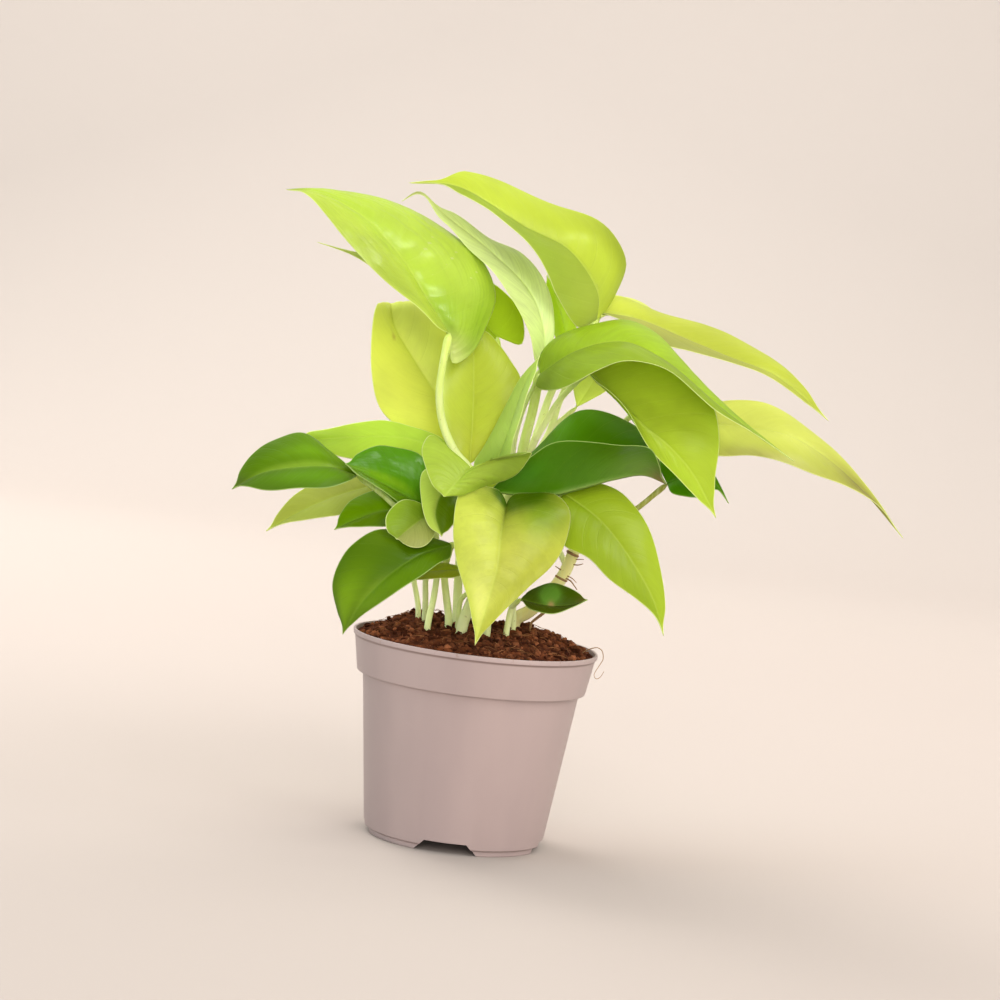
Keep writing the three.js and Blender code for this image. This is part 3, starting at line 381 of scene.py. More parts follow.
VINES = {
    "vine_olive": [
        stem(1.1, "left_olive", (-28, 13, 101), (-33, 12, 118), (-41, 8, 132), ground=(-25, 12)),
    ],
    "vine_far_left": [
        stem(1.2, "far_left_dark", (-23, 5, 100), (-25, -5, 116), (-31, -16, 127), (-43, -16, 137),
             ground=(-22, 7), end=0x96B23C),
    ],
    "vine_left": [
        stem(1.3, "dark_gloss", (-19, -3, 98), (-19, -2, 110), (-21, -6, 121), (-24, -10, 129),
             ground=(-20, -9)),
        stem(1, "left_small", (-19, -2, 108), (-25, -2, 121)),
        stem(1, "round_lobe", (-20, -4, 116), (-21, -14, 126)),
    ],
    "vine_low": [
        stem(1.5, "lower_left", (-14, 0, 98), (-16, 0, 108), (-15, -8, 117), ground=(-12, 0)),
    ],
    "vine_short": [
        stem(1.1, "low_back", (-8, -4, 98), (-3, -11, 105), ground=(-8, -4)),
    ],
    "vine_centre": [
        stem(1.8, "centre", (-10, 6, 104), (-11, 5, 125), (-11, 3, 140), ground=(-9, 7)),
        stem(1.2, "left_yellow", (-11, 5, 126), (-13, 12, 142)),
        stem(1.2, "left_lime", (-11, 4, 132), (-14, 3, 146)),
        stem(1.7, "top_left", (-11, 4, 130), (-9, -8, 142), (-10, -13, 151), (-17, -14, 158),
             (-23, -14, 168), (-26, -17, 180), (-26, -18, 193)),
        stem(1.2, "cup", (-9, -8, 142), (-9, -18, 150)),
        stem(1, "shadow", (-9, -8, 142), (-12, -13, 146)),
        stem(1, "centre_edge", (-9, -8, 142), (-5, -11, 145)),
        stem(1.3, "back_left", (-11, 5, 124), (-7, 12, 145), (-4, 18, 165), (-3, 20, 185)),
        stem(1.2, "rear_low_left", (-10, 6, 110), (-11, 18, 122)),
        stem(1.2, "rear_high", (-5, 16, 158), (-4, 26, 168)),
    ],
    "vine_tall": [
        stem(2.2, "pale_arch", (-3, -4, 100), (2, 4, 118), (6, 12, 138), (9, 16, 152), (10, 15, 163),
             (12, 12, 178), ground=(-6, -11)),
        stem(1, "right_arch", (8, 15, 148), (6, 8, 161), (8, 4, 177)),
        stem(1.6, "top_yellow", (9, 16, 150), (14, 18, 164), (19, 20, 186), (27, 24, 204)),
        stem(1.1, "wedge", (18, 20, 182), (22, 26, 194)),
        stem(1.4, "far_right_top", (9, 16, 148), (19, 22, 166), (23, 26, 183), (30, 32, 204)),
        stem(1.3, "right_olive", (14, 18, 164), (22, 12, 182), (28, 2, 191)),
        stem(0.9, "back_small", (20, 23, 170), (26, 25, 176)),
        stem(1.1, "back_top", (26, 29, 193), (31, 42, 206)),
        stem(1.2, "rear_middle", (4, 8, 128), (4, 24, 138)),
    ],
    "vine_front": [
        stem(1.5, "front_yellow", (3, -13, 100), (3, -14, 118), (4, -20, 131), ground=(4, -13)),
    ],
    "vine_boat": [
        stem(1.5, "dark_boat", (13, 2, 98), (10, 0, 115), (6, -4, 130), ground=(14, 3)),
    ],
    "vine_right": [
        stem(1.2, "right_lower", (13, -4, 98), (18, -5, 115), (25, -5, 133), ground=(12, -6)),
        stem(0.9, "soil_curl", (12.6, -4, 97)),
    ],
    "vine_rooted": [
        stem(2.7, None, (20, 9, 95), (26, 8, 102), (31, 8, 109), (35, 8, 120), (37, 8, 133), ground=(15, 11),
             start=0xF8F0AA, end=0xF4EE9C),
        stem(1.3, "far_right", (36.5, 8, 131), (42, 14, 150), (46, 17, 168), (53, 15, 180), (66, 11, 183)),
        stem(1.2, "dark_right", (36.5, 8, 130), (48, 6, 136), (58, 6, 142), (66, 7, 150), start=0xAAB050,
             end=0x96963E),
        stem(1.2, "rear_low_right", (33.5, 8, 115), (29, 18, 122)),
        stem(1.2, "rear_right", (42, 14, 150), (40, 26, 158)),
    ],
}


def linear(rgb):
    """8-bit sRGB as linear light."""
    c = np.array([rgb >> 16, rgb >> 8 & 255, rgb & 255]) / 255
    return np.where(c <= 0.04045, c / 12.92, ((c + 0.055) / 1.055) ** 2.4)


def rgba(rgb):
    return (*linear(rgb), 1)


def blend(a, b, share):
    return (1 - share) * linear(a) + share * linear(b)


def smooth_curve(points):
    """Centripetal Catmull-Rom curve as three.js draws it, as a function of the share of its length."""
    p = np.array(points, float)
    if len(p) == 2:
        return lambda u: p[0] + u[:, None] * (p[1] - p[0])
    q = np.vstack([2 * p[0] - p[1], p, 2 * p[-1] - p[-2]])
    t = np.linspace(0, 1, 24, endpoint=False)[:, None]
    rows = []
    for x0, x1, x2, x3 in zip(q, q[1:], q[2:], q[3:]):
        d0, d1, d2 = (max(np.linalg.norm(b - a), 1e-6) ** 0.5 for a, b in ((x0, x1), (x1, x2), (x2, x3)))
        m1 = ((x1 - x0) / d0 - (x2 - x0) / (d0 + d1) + (x2 - x1) / d1) * d1
        m2 = ((x2 - x1) / d1 - (x3 - x1) / (d1 + d2) + (x3 - x2) / d2) * d1
        rows.append(x1 + m1 * t + (3 * (x2 - x1) - 2 * m1 - m2) * t**2 + (2 * (x1 - x2) + m1 + m2) * t**3)
    rows = np.vstack(rows + [q[-2:-1]])
    length = np.concatenate([[0], np.cumsum(np.linalg.norm(np.diff(rows, axis=0), axis=1))])
    share = length / length[-1]
    return lambda u: np.stack([np.interp(u, share, rows[:, k]) for k in range(3)], axis=1)


def unit(v):
    return v / np.maximum(np.linalg.norm(v, axis=-1, keepdims=True), 1e-9)


def solid(rings, first, last):
    """Points and faces of rings joined one after another, with a point to close each end."""
    count, sides = len(rings), len(rings[0])
    ids = np.arange(count * sides).reshape(count, sides)
    after = np.roll(ids, -1, axis=1)
    faces = np.stack([ids[:-1], after[:-1], after[1:], ids[1:]], axis=-1).reshape(-1, 4).tolist()
    for end, one, two in ((count * sides, after[0], ids[0]), (count * sides + 1, ids[-1], after[-1])):
        faces += [(end, a, b) for a, b in zip(one.tolist(), two.tolist())]
    return np.vstack([*rings, first, last]), faces


def new_object(name, verts, faces, material, floats=None, tint=None):
    """Mesh object from points in mm, with its point attributes."""
    mesh = bpy.data.meshes.new(name)
    mesh.from_pydata((np.asarray(verts) * MM).tolist(), [], faces)
    for key, values in (floats or {}).items():
        layer = mesh.attributes.new(key, "FLOAT", "POINT")
        layer.data.foreach_set("value", np.asarray(values, np.float32))
    if tint is not None:
        layer = mesh.color_attributes.new("tint", "FLOAT_COLOR", "POINT")
        colors = np.concatenate([tint, np.ones((len(tint), 1))], axis=1)
        layer.data.foreach_set("color", colors.astype(np.float32).ravel())
    mesh.materials.append(material)
    mesh.shade_smooth()
    mesh.validate()
    obj = bpy.data.objects.new(name, mesh)
    bpy.context.collection.objects.link(obj)
    return obj


# Materials

class Nodes:
    """A material's node tree, with a short way to add and join nodes."""

    def __init__(self, name):
        self.material = bpy.data.materials.new(name)
        self.material.use_nodes = True
        self.tree = self.material.node_tree
        self.tree.nodes.clear()
        self.output = self.add("OutputMaterial")

    def add(self, kind, *values, **named):
        """New node, with values on its first sockets and on those that are named."""
        node = self.tree.nodes.new(f"ShaderNode{kind}")
        for socket, value in zip(node.inputs, values):
            self.plug(socket, value)
        for key, value in named.items():
            self.plug(node.inputs[key.replace("_", " ")], value)
        return node

    def plug(self, socket, value):
        if isinstance(value, bpy.types.NodeSocket):
            self.tree.links.new(value, socket)
        else:
            socket.default_value = value

    def math(self, operation, a, b=0.0):
        node = self.add("Math", a, b)
        node.operation = operation
        return node.outputs[0]

    def times(self, a, b):
        return self.math("MULTIPLY", a, b)

    def plus(self, a, b):
        return self.math("ADD", a, b)

    def mix(self, factor, a, b, blend_type="MIX"):
        node = self.add("Mix", factor)
        node.data_type = "RGBA"
        node.blend_type = blend_type
        self.plug(node.inputs[6], a)
        self.plug(node.inputs[7], b)
        return node.outputs[2]

    def wash(self, color, rgb, where, strength):
        """Colour with another one laid over it, by where it lies and how strong it is."""
        return self.mix(self.times(where, strength), color, rgba(rgb))

    def ramp(self, value, low, high, start=0.0, end=1.0):
        node = self.add("MapRange", value, low, high, start, end)
        node.interpolation_type = "SMOOTHSTEP"
        return node.outputs[0]

    def attribute(self, name, output="Fac"):
        node = self.add("Attribute")
        node.attribute_name = name
        return node.outputs[output]

    def coords(self):
        return self.add("TexCoord").outputs["Object"]

    def stretched(self, *scale):
        return self.add("Mapping", Vector=self.coords(), Scale=scale).outputs[0]

    def vector(self, x, y):
        return self.add("CombineXYZ", x, y).outputs[0]

    def noise(self, scale, detail=2.0, roughness=0.5, vector=None):
        node = self.add("TexNoise", Scale=scale, Detail=detail, Roughness=roughness)
        self.plug(node.inputs["Vector"], self.coords() if vector is None else vector)
        return node.outputs["Fac"]

    def bump(self, height, strength, distance):
        node = self.add("Bump", Strength=strength, Distance=distance, Height=height)
        return node.outputs["Normal"]

    def skin(self, color, roughness, **more):
        return self.add("BsdfPrincipled", Base_Color=color, Roughness=roughness, **more)

    def surface(self, shader):
        self.plug(self.output.inputs["Surface"], shader.outputs[0])
        return self.material

    def lit_through(self, skin, color, normal, share):
        """Surface of a skin that lets a share of the light through in a colour."""
        glow = self.add("BsdfTranslucent", Color=color, Normal=normal)
        return self.surface(self.add("MixShader", share, skin.outputs[0], glow.outputs[0]))


# Where the pale midrib and the pale rim of a blade fade out and are full, in mm from each; the rim is partly
# painted light coming through the thin edge
MIDRIB_BAND = (0.7, 0.1)
RIM_AND_GLOW_BAND = (0.5, 0.12)
GLOW_FILTER = (1.0, 1.0, 0.3, 1)


def leaf_material(name, roughness, gloss, coat, through, folds, vein_tone, rim_and_glow_tone):
    """Leaf skin: veins, a pale rim that is partly painted light coming through the thin edge, streaks that
    are partly painted shade and light of the creases, and soft mottling over the tint, with light coming
    through.
    """
    n = Nodes(name)
    vein, rib, edge = (n.attribute(key) for key in ("vein", "rib_mm", "edge_mm"))
    line = n.ramp(n.math("ABSOLUTE", n.math("SINE", n.times(vein, math.pi))), 0.14, 0.0)
    crease = n.noise(1.0, 4, 0.6, n.vector(n.times(vein, 3.6), n.times(rib, 0.14)))
    patchy = n.ramp(n.noise(190, 5, 0.65), 0.44, 0.62)
    # Streaks darker in the creases of the bump and lighter on its ridges: partly painted shade and light of
    # the quilting
    streak_and_crease_shade = n.times(n.attribute("streaks_and_crease_shade"), n.math("SUBTRACT", 0.5, crease))
    shade = n.math("SUBTRACT", n.ramp(n.noise(42, 3), 0.3, 0.7, 0.93, 1.05), streak_and_crease_shade)
    shade = n.math("SUBTRACT", shade, n.times(n.attribute("mottle"), patchy))
    grey = n.add("CombineColor", shade, shade, shade).outputs[0]
    color = n.mix(1.0, n.attribute("tint", "Color"), grey, "MULTIPLY")
    color = n.wash(color, vein_tone, line, 0.05)
    color = n.wash(color, vein_tone, n.ramp(rib, *MIDRIB_BAND), 0.2)
    # Pale rim, partly painted light coming through the thin edge of the blade
    color = n.wash(color, rim_and_glow_tone, n.ramp(edge, *RIM_AND_GLOW_BAND), 0.85)
    height = n.plus(n.times(line, -0.3), n.times(crease, 0.9))
    if folds:
        across = n.math("DIVIDE", rib, n.plus(n.plus(rib, edge), 0.01))
        fan = n.vector(n.times(across, 7), n.times(vein, 0.3))
        height = n.plus(height, n.times(n.noise(1.0, 2, 0.5, fan), folds))
    normal = n.bump(height, 0.45, 0.0004)
    skin = n.skin(
        color, roughness, Normal=normal, Coat_Weight=coat, Coat_Roughness=0.2, Specular_IOR_Level=gloss,
    )
    return n.lit_through(skin, n.mix(1.0, color, GLOW_FILTER, "MULTIPLY"), normal, through)


def stem_material():
    n = Nodes("stem_skin")
    streak = n.ramp(n.noise(1.0, 2, vector=n.stretched(700, 700, 60)), 0.35, 0.7)
    speck = n.ramp(n.noise(900, 1), 0.68, 0.76)
    color = n.wash(n.attribute("tint", "Color"), 0xECEEBE, streak, 0.3)
    color = n.wash(color, 0x968246, speck, 0.35)
    normal = n.bump(streak, 0.2, 0.0003)
    skin = n.skin(color, 0.42, Normal=normal, Specular_IOR_Level=0.3)
    return n.lit_through(skin, color, normal, 0.25)


def root_material():
    n = Nodes("root_skin")
    grain = n.noise(1500, 3, 0.6)
    color = n.mix(grain, rgba(0x603E24), rgba(0xB08A5C))
    return n.surface(n.skin(color, 0.75, Normal=n.bump(grain, 0.5, 0.0002)))


def soil_material():
    n = Nodes("coco_peat")
    coarse = n.noise(260, 5, 0.65)
    fine = n.noise(1700, 4, 0.7)
    color = n.mix(n.ramp(coarse, 0.35, 0.6, 0.6, 0.0), n.attribute("tint", "Color"), rgba(0x2C1209))
    color = n.mix(n.ramp(fine, 0.56, 0.74, 0, 0.35), color, rgba(0x1E0C06))
    normal = n.bump(n.plus(coarse, n.times(fine, 0.5)), 0.9, 0.0012)
    return n.surface(n.skin(color, 0.95, Normal=normal, Specular_IOR_Level=0.12))


# Heights on the pot in m: where soil dust starts and is full, and both edges of the groove at the rim, which
# is darkened with painted shade
DUST_BAND = (0.078, 0.083)
GROOVE_SHADE_FOOT = (0.0789, 0.0796)
GROOVE_SHADE_TOP = (0.0804, 0.08)


def pot_material():
    """Greige moulded plastic with a faint grain, flow marks, a little soil dust at the rim and painted shade
    in the groove under the lip.
    """
    n = Nodes("pot_plastic")
    height = n.add("SeparateXYZ", n.coords()).outputs["Z"]
    flow = n.noise(1.0, 3, vector=n.stretched(30, 30, 9))
    scuff = n.ramp(n.noise(1.0, 5, 0.7, n.stretched(60, 60, 420)), 0.66, 0.8)
    dust = n.times(n.ramp(n.noise(420, 5, 0.7), 0.56, 0.72), n.ramp(height, *DUST_BAND))
    # Painted shade in the groove under the lip
    groove = n.times(n.ramp(height, *GROOVE_SHADE_FOOT), n.ramp(height, *GROOVE_SHADE_TOP))
    color = n.mix(n.ramp(flow, 0.3, 0.7), rgba(0x9A8885), rgba(0xA4918D))
    color = n.wash(color, 0xD6C8C0, scuff, 0.12)
    color = n.wash(color, 0x70462E, dust, 0.5)
    color = n.wash(color, 0x68524A, groove, 0.55)
    rough = n.ramp(n.plus(flow, scuff), 0.2, 1.2, 0.4, 0.56)
    normal = n.bump(n.plus(n.noise(2600, 2), n.times(flow, 2.0)), 0.12, 0.0002)
    return n.surface(n.skin(color, rough, Normal=normal))


def floor_material():
    """Matte paper, a little darker near the pot than far from it, and lit from itself beyond the lamps."""
    n = Nodes("floor_paper")
    coords = n.coords()
    away = n.add("VectorMath", coords)
    away.operation = "LENGTH"
    far = n.ramp(away.outputs["Value"], *FLOOR_FADE)
    place = n.add("SeparateXYZ", coords)
    front = n.ramp(n.times(place.outputs["Y"], -1.0), *GLOW_BAND)
    side = n.ramp(n.math("ABSOLUTE", place.outputs["X"]), *GLOW_BAND)
    glow = n.times(n.math("MAXIMUM", front, side), GLOW_STRENGTH)
    color = n.mix(far, rgba(FLOOR_COLOR), rgba(WALL_COLOR))
    return n.surface(n.skin(
        color, 0.95, Specular_IOR_Level=0.1, Emission_Color=rgba(WALL_COLOR), Emission_Strength=glow,
    ))


# Vein tone and rim tone of each skin; the rim tone is partly painted light coming through the edge
YOUNG_TONES = (0xDEEC78, 0xE8F0AA)
DARK_TONES = (0x8CAC3C, 0xACC46E)
YOUNG_SKIN = leaf_material("leaf_young_skin", 0.34, 0.3, 0.08, 0.45, 0, *YOUNG_TONES)
DARK_SKIN = leaf_material("leaf_dark_skin", 0.32, 0.18, 0.14, 0.3, 0, *DARK_TONES)
GLOSSY_SKINS = {
    "top_left": leaf_material("leaf_young_glossy_skin", 0.34, 0.3, 0.5, 0.45, 7, *YOUNG_TONES),
    "dark_gloss": leaf_material("leaf_dark_glossy_skin", 0.32, 0.18, 0.3, 0.3, 4, *DARK_TONES),
}
STEM_SKIN = stem_material()
ROOT_SKIN = root_material()
SOIL_SKIN = soil_material()
POT_SKIN = pot_material()

# Blades

BLADE_ROWS = 56
ACROSS = (0, 0.02, 0.05, 0.1, 0.17, 0.26, 0.37, 0.49, 0.61, 0.73, 0.84, 0.93, 0.985, 1)
BLADE_HALF_THICKNESS = 0.19
RIM_HALF_THICKNESS = 0.09
SIDE_VEINS = 11
QUILT_DEPTH = 0.016
SWELL_DEPTH = 0.018
GROOVE_DEPTH = 0.3
GROOVE_WIDTH = 0.55
KEEL_DEPTH = 0.75
KEEL_WIDTH = 0.8

# A tail is the slim drip tip of a blade: where it starts and is slimmest along the rib, and the share
# of the width that is left there.
PLAIN_TAIL = (0.88, 0.97, 0.6)
TAILS = {
    "top_yellow": (0.8, 0.91, 0.22),
    "pale_arch": (0.8, 0.9, 0.16),
    "back_left": (0.7, 0.9, 0.45),
    "dark_right": (0.6, 0.85, 0.4),
}


def blade_frame(midrib, margins, us, vs, tail):
    """Middle surface of a blade as a grid of points, with each point's reach from the rib in mm."""
    rib = smooth_curve(midrib)
    left, right = (smooth_curve([midrib[0], *margin, midrib[-1]]) for margin in margins)
    at = us**RIB_SPACING_POWER
    middle = rib(at)
    along = unit(rib(np.minimum(at + 0.01, 1)) - rib(np.maximum(at - 0.01, 0)))
    start, end, keep = tail
    step = np.clip((us - start) / (end - start), 0, 1)
    slim = 1 - (1 - keep) * step * step * (3 - 2 * step)
    grid = np.zeros((len(us), len(vs), 3))
    reach_mm, width_mm = np.zeros((2, len(us), len(vs)))
    for j, v in enumerate(vs):
        sign, edge, shift = (-1, left, 0) if v < 0 else (1, right, RIGHT_WAVE_SHIFT)
        a = abs(v)
        reach = (edge(us) - middle) * slim[:, None]
        width = np.linalg.norm(reach, axis=1)
        up = unit(sign * np.cross(reach, along))
        wave = MARGIN_WAVE * a * a * np.sin(2 * math.pi * WAVES_ALONG * us + shift)
        lift = width * (4 * BLADE_ARCH * a * (1 - a) + wave)
        grid[:, j] = middle + a * reach + lift[:, None] * up
        reach_mm[:, j] = a * width
        width_mm[:, j] = width
    return grid, reach_mm, width_mm


def blade_tint(colors, patches, us, vs, face):
    """Colour of every point of one face of a blade."""
    left, right, under = colors
    u, v = np.meshgrid(us, vs, indexing="ij")
    if face == "top":
        tint = blend(left, right, np.clip(v / 0.08 + 0.5, 0, 1)[..., None])
    else:
        tint = np.ones(u.shape + (1,)) * linear(under)
    for pu, pv, ru, rv, rgb, strength, *where in patches:
        if (*where, "top")[0] in (face, "both"):
            away = ((u - pu) / ru) ** 2 + ((v - pv) / rv) ** 2
            share = np.minimum(1, strength * np.exp(-away))[..., None]
            tint = (1 - share) * tint + share * linear(rgb)
    return tint


def around(top, under):
    """Rings of a blade, across its top and back across its underside."""
    return np.concatenate([top, under[:, -2:0:-1]], axis=1)


def make_blade(key, midrib, left, right, *look):
    name = f"leaf_{key}"
    k = np.arange(1, BLADE_ROWS) / BLADE_ROWS
    us = 0.65 * k + 0.35 * (1 - np.cos(math.pi * k)) / 2
    vs = np.array([-a for a in reversed(ACROSS[1:])] + list(ACROSS))
    grid, reach, width = blade_frame(midrib, (left, right), us, vs, TAILS.get(key, PLAIN_TAIL))
    a = np.abs(vs)[None, :]
    vein = SIDE_VEINS * (us[:, None] - 0.2 * a**1.3) + 0.35 * (vs[None, :] > 0)
    normal = unit(np.cross(np.gradient(grid, axis=0), -np.gradient(grid, axis=1)))

    size = width.max()
    inside = np.clip(a / 0.12, 0, 1) * np.clip((1 - a) / 0.2, 0, 1)
    valley = (1 - np.abs(np.sin(math.pi * vein))) ** 2
    belly = np.sin(math.pi * us)[:, None]
    seed = Vector((len(name) * 3.1, sum(map(ord, name)) * 0.37, 0))
    swell = np.array([[noise.noise(Vector(p * 0.05) + seed) for p in row] for row in grid])
    swell *= SWELL_DEPTH * size * (1 - a**4) * belly
    grid = grid + (swell - QUILT_DEPTH * size * valley * inside * belly)[..., None] * normal

    half = RIM_HALF_THICKNESS + (BLADE_HALF_THICKNESS - RIM_HALF_THICKNESS) * (1 - a**4)
    taper = (1 - us)[:, None] ** 0.6
    groove = GROOVE_DEPTH * np.exp(-((reach / GROOVE_WIDTH) ** 2)) * taper
    keel = KEEL_DEPTH * np.exp(-((reach / KEEL_WIDTH) ** 2)) * taper
    top = grid + (half - groove)[..., None] * normal
    under = grid - (half + keel)[..., None] * normal
    top[:, 0], top[:, -1] = grid[:, 0], grid[:, -1]

    verts, faces = solid(around(top, under), midrib[0], midrib[-1])
    tint_top, tint_under = (blade_tint(*look, us, vs, face) for face in ("top", "under"))
    tint = around(tint_top, tint_under).reshape(-1, 3)
    tint = np.vstack([tint, tint_top[[0, -1], len(ACROSS) - 1]])

    def spread(values, first=0, last=0):
        values = np.broadcast_to(values, reach.shape)
        return np.append(around(values, values), (first, last))

    floats = {
        "vein": spread(vein, 0.5, SIDE_VEINS),
        "rib_mm": spread(reach),
        "edge_mm": spread(width - reach),
        "mottle": spread(MOTTLES.get(key, 0)),
        "streaks_and_crease_shade": spread(STREAKS_AND_CREASE_SHADE.get(key, PLAIN_STREAKS_AND_CREASE_SHADE)),
    }
    skin = GLOSSY_SKINS.get(key, DARK_SKIN if key in DARK_LEAVES else YOUNG_SKIN)
    obj = new_object(f"{name}_blade", verts, faces, skin, floats, tint)
    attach(obj, "root")
    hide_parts(name)


# Stems

STEM_SIDES = 14


def tube(points, radii, sides):
    """Tube round a line of points, closed at both ends."""
    points = np.asarray(points, float)
    along = unit(np.gradient(points, axis=0))
    side = unit(np.cross(along[0], (0.3, 0.9, 0.2)))
    turns = 2 * math.pi * np.arange(sides)[:, None] / sides
    rings = []
    for p, t, r in zip(points, along, radii):
        side = unit(side - t * np.dot(side, t))
        rings.append(p + r * (np.cos(turns) * side + np.sin(turns) * np.cross(t, side)))
    return solid(rings, points[0], points[-1])


class Gather:
    """Several closed bodies collected into the arrays of one mesh."""

    def __init__(self):
        self.verts, self.faces, self.tints, self.count = [], [], [], 0

    def take(self, verts, faces, tint=None):
        self.verts.append(verts)
        self.faces += [tuple(i + self.count for i in face) for face in faces]
        self.count += len(verts)
        if tint is not None:
            self.tints.append(tint * np.ones((len(verts), 1)))

    def build(self, name, material):
        tint = np.vstack(self.tints) if self.tints else None
        return new_object(name, np.vstack(self.verts), self.faces, material, tint=tint)


def make_vine(name, stems):
    gather = Gather()
    for radius, points, has_leaf, start, end in stems:
        length = sum(math.dist(a, b) for a, b in zip(points, points[1:]))
        u = np.linspace(0, 1, max(8, int(length / 2)) + 1)
        left = (1 - u) * length
        taper = 1.08 - 0.22 * u
        if has_leaf:
            taper += 0.16 * np.exp(-(((left - 4) / 2.5) ** 2))
            taper *= np.clip(0.45 + left / 2.5, 0, 1)
        else:
            taper *= np.clip(0.5 + left / 2, 0, 1)
        verts, faces = tube(smooth_curve(points)(u), radius * taper, STEM_SIDES)
        share = np.concatenate([np.repeat(u, STEM_SIDES), [0, 1]])[:, None]
        gather.take(verts, faces, blend(start, end, share))
    obj = gather.build(f"{name}_stems", STEM_SKIN)
    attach(obj, "root")
    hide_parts(name)


# Roots by radius and line: thin ones on the rooted stem, a brown one into the soil and a thread over
# the rim, in mm
ROOTS = [
    (0.35, [(32, 7, 113.5), (30, 6, 114.6), (28.6, 5.5, 115.4)]),
    (0.4, [(33, 6.5, 111), (35.6, 5.6, 110), (37.2, 5, 108.4), (38.6, 5, 106.8)]),
    (0.3, [(33.5, 6.5, 112), (36, 5.6, 111.2), (38, 5, 109.6)]),
    (0.35, [(34.5, 7, 117), (37.5, 6.2, 116.8), (39.9, 6, 117.6)]),
    (0.3, [(34.8, 7, 118.6), (38, 6.4, 119.2), (40, 6, 119.4)]),
    (0.8, [
        (26.4, 9, 99), (26.8, 8.6, 96.4), (23.8, 8, 93), (21.8, 8, 90.8), (21.5, 8, 88), (20.4, 7, 83),
    ]),
    (0.22, [
        (43, -1, 81.6), (45.5, -2, 83.6), (48.1, -3, 84.9), (49.8, -4, 85.2), (51.4, -4, 84.2),
        (52.2, -4, 81), (50.9, -5, 78), (49.7, -6, 75.8), (49.3, -6.4, 74.2), (50.2, -6.4, 72.9),
        (51.8, -6, 73.6), (53.1, -6, 76.2),
    ]),
]
# Rings at the nodes of that stem: middle and radius, in mm
NODE_RINGS = [(35.15, 8, 121, 2.8), (31.7, 8, 110.4, 2.75)]
NODE_SLANT = (4, 0, 11)


def make_roots():
    gather = Gather()
    for radius, points in ROOTS:
        u = np.linspace(0, 1, 6 * len(points) + 1)
        gather.take(*tube(smooth_curve(points)(u), radius * (1 - 0.55 * u), 8))
    for x, y, z, radius in NODE_RINGS:
        along = unit(np.array(NODE_SLANT, float))
        line = [np.array([x, y, z]) + s * along for s in (-0.6, -0.3, 0, 0.3, 0.6)]
        gather.take(*tube(line, [radius - 0.4, radius, radius + 0.1, radius, radius - 0.4], 20))
    obj = gather.build("fine_roots", ROOT_SKIN)
    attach(obj, "root")


# Pot

POT_SIDES = 160
EDGE_ROUNDING = 0.4


def rounded(profile, radius):
    """Profile with each inner corner cut back by the radius and rounded."""
    points = [np.array(p, float) for p in profile]
    out = [points[0]]
    for before, corner, after in zip(points, points[1:], points[2:]):
        to_before, to_after = before - corner, after - corner
        cut = min(radius, np.linalg.norm(to_before) / 2.2, np.linalg.norm(to_after) / 2.2)
        start = corner + cut * unit(to_before)
        end = corner + cut * unit(to_after)
        for t in (0, 0.25, 0.5, 0.75, 1):
            out.append((1 - t) ** 2 * start + 2 * t * (1 - t) * corner + t * t * end)
    out.append(points[-1])
    return out


def lathe(profile, sides):
    """Solid of a profile that starts and ends on the axis, turned round it."""
    turns = 2 * math.pi * np.arange(sides) / sides
    circle = np.stack([np.cos(turns), np.sin(turns), 0 * turns], axis=1)
    rings = [r * circle + (0, 0, z) for r, z in profile[1:-1]]
    return solid(rings, (0, 0, profile[0][1]), (0, 0, profile[-1][1]))


def prism(corners, turn, start, end):
    """Prism of (across, z) corners, pointing outward along a turn from one radius to another."""
    out = np.array([math.cos(turn), math.sin(turn), 0])
    across = np.array([-out[1], out[0], 0])
    verts = []
    for radius in (start, end):
        verts += [radius * out + x * across + np.array([0, 0, z]) for x, z in corners]
    n = len(corners)
    faces = [tuple(reversed(range(n))), tuple(range(n, 2 * n))]
    faces += [(i, (i + 1) % n, (i + 1) % n + n, i + n) for i in range(n)]
    return np.array(verts), faces


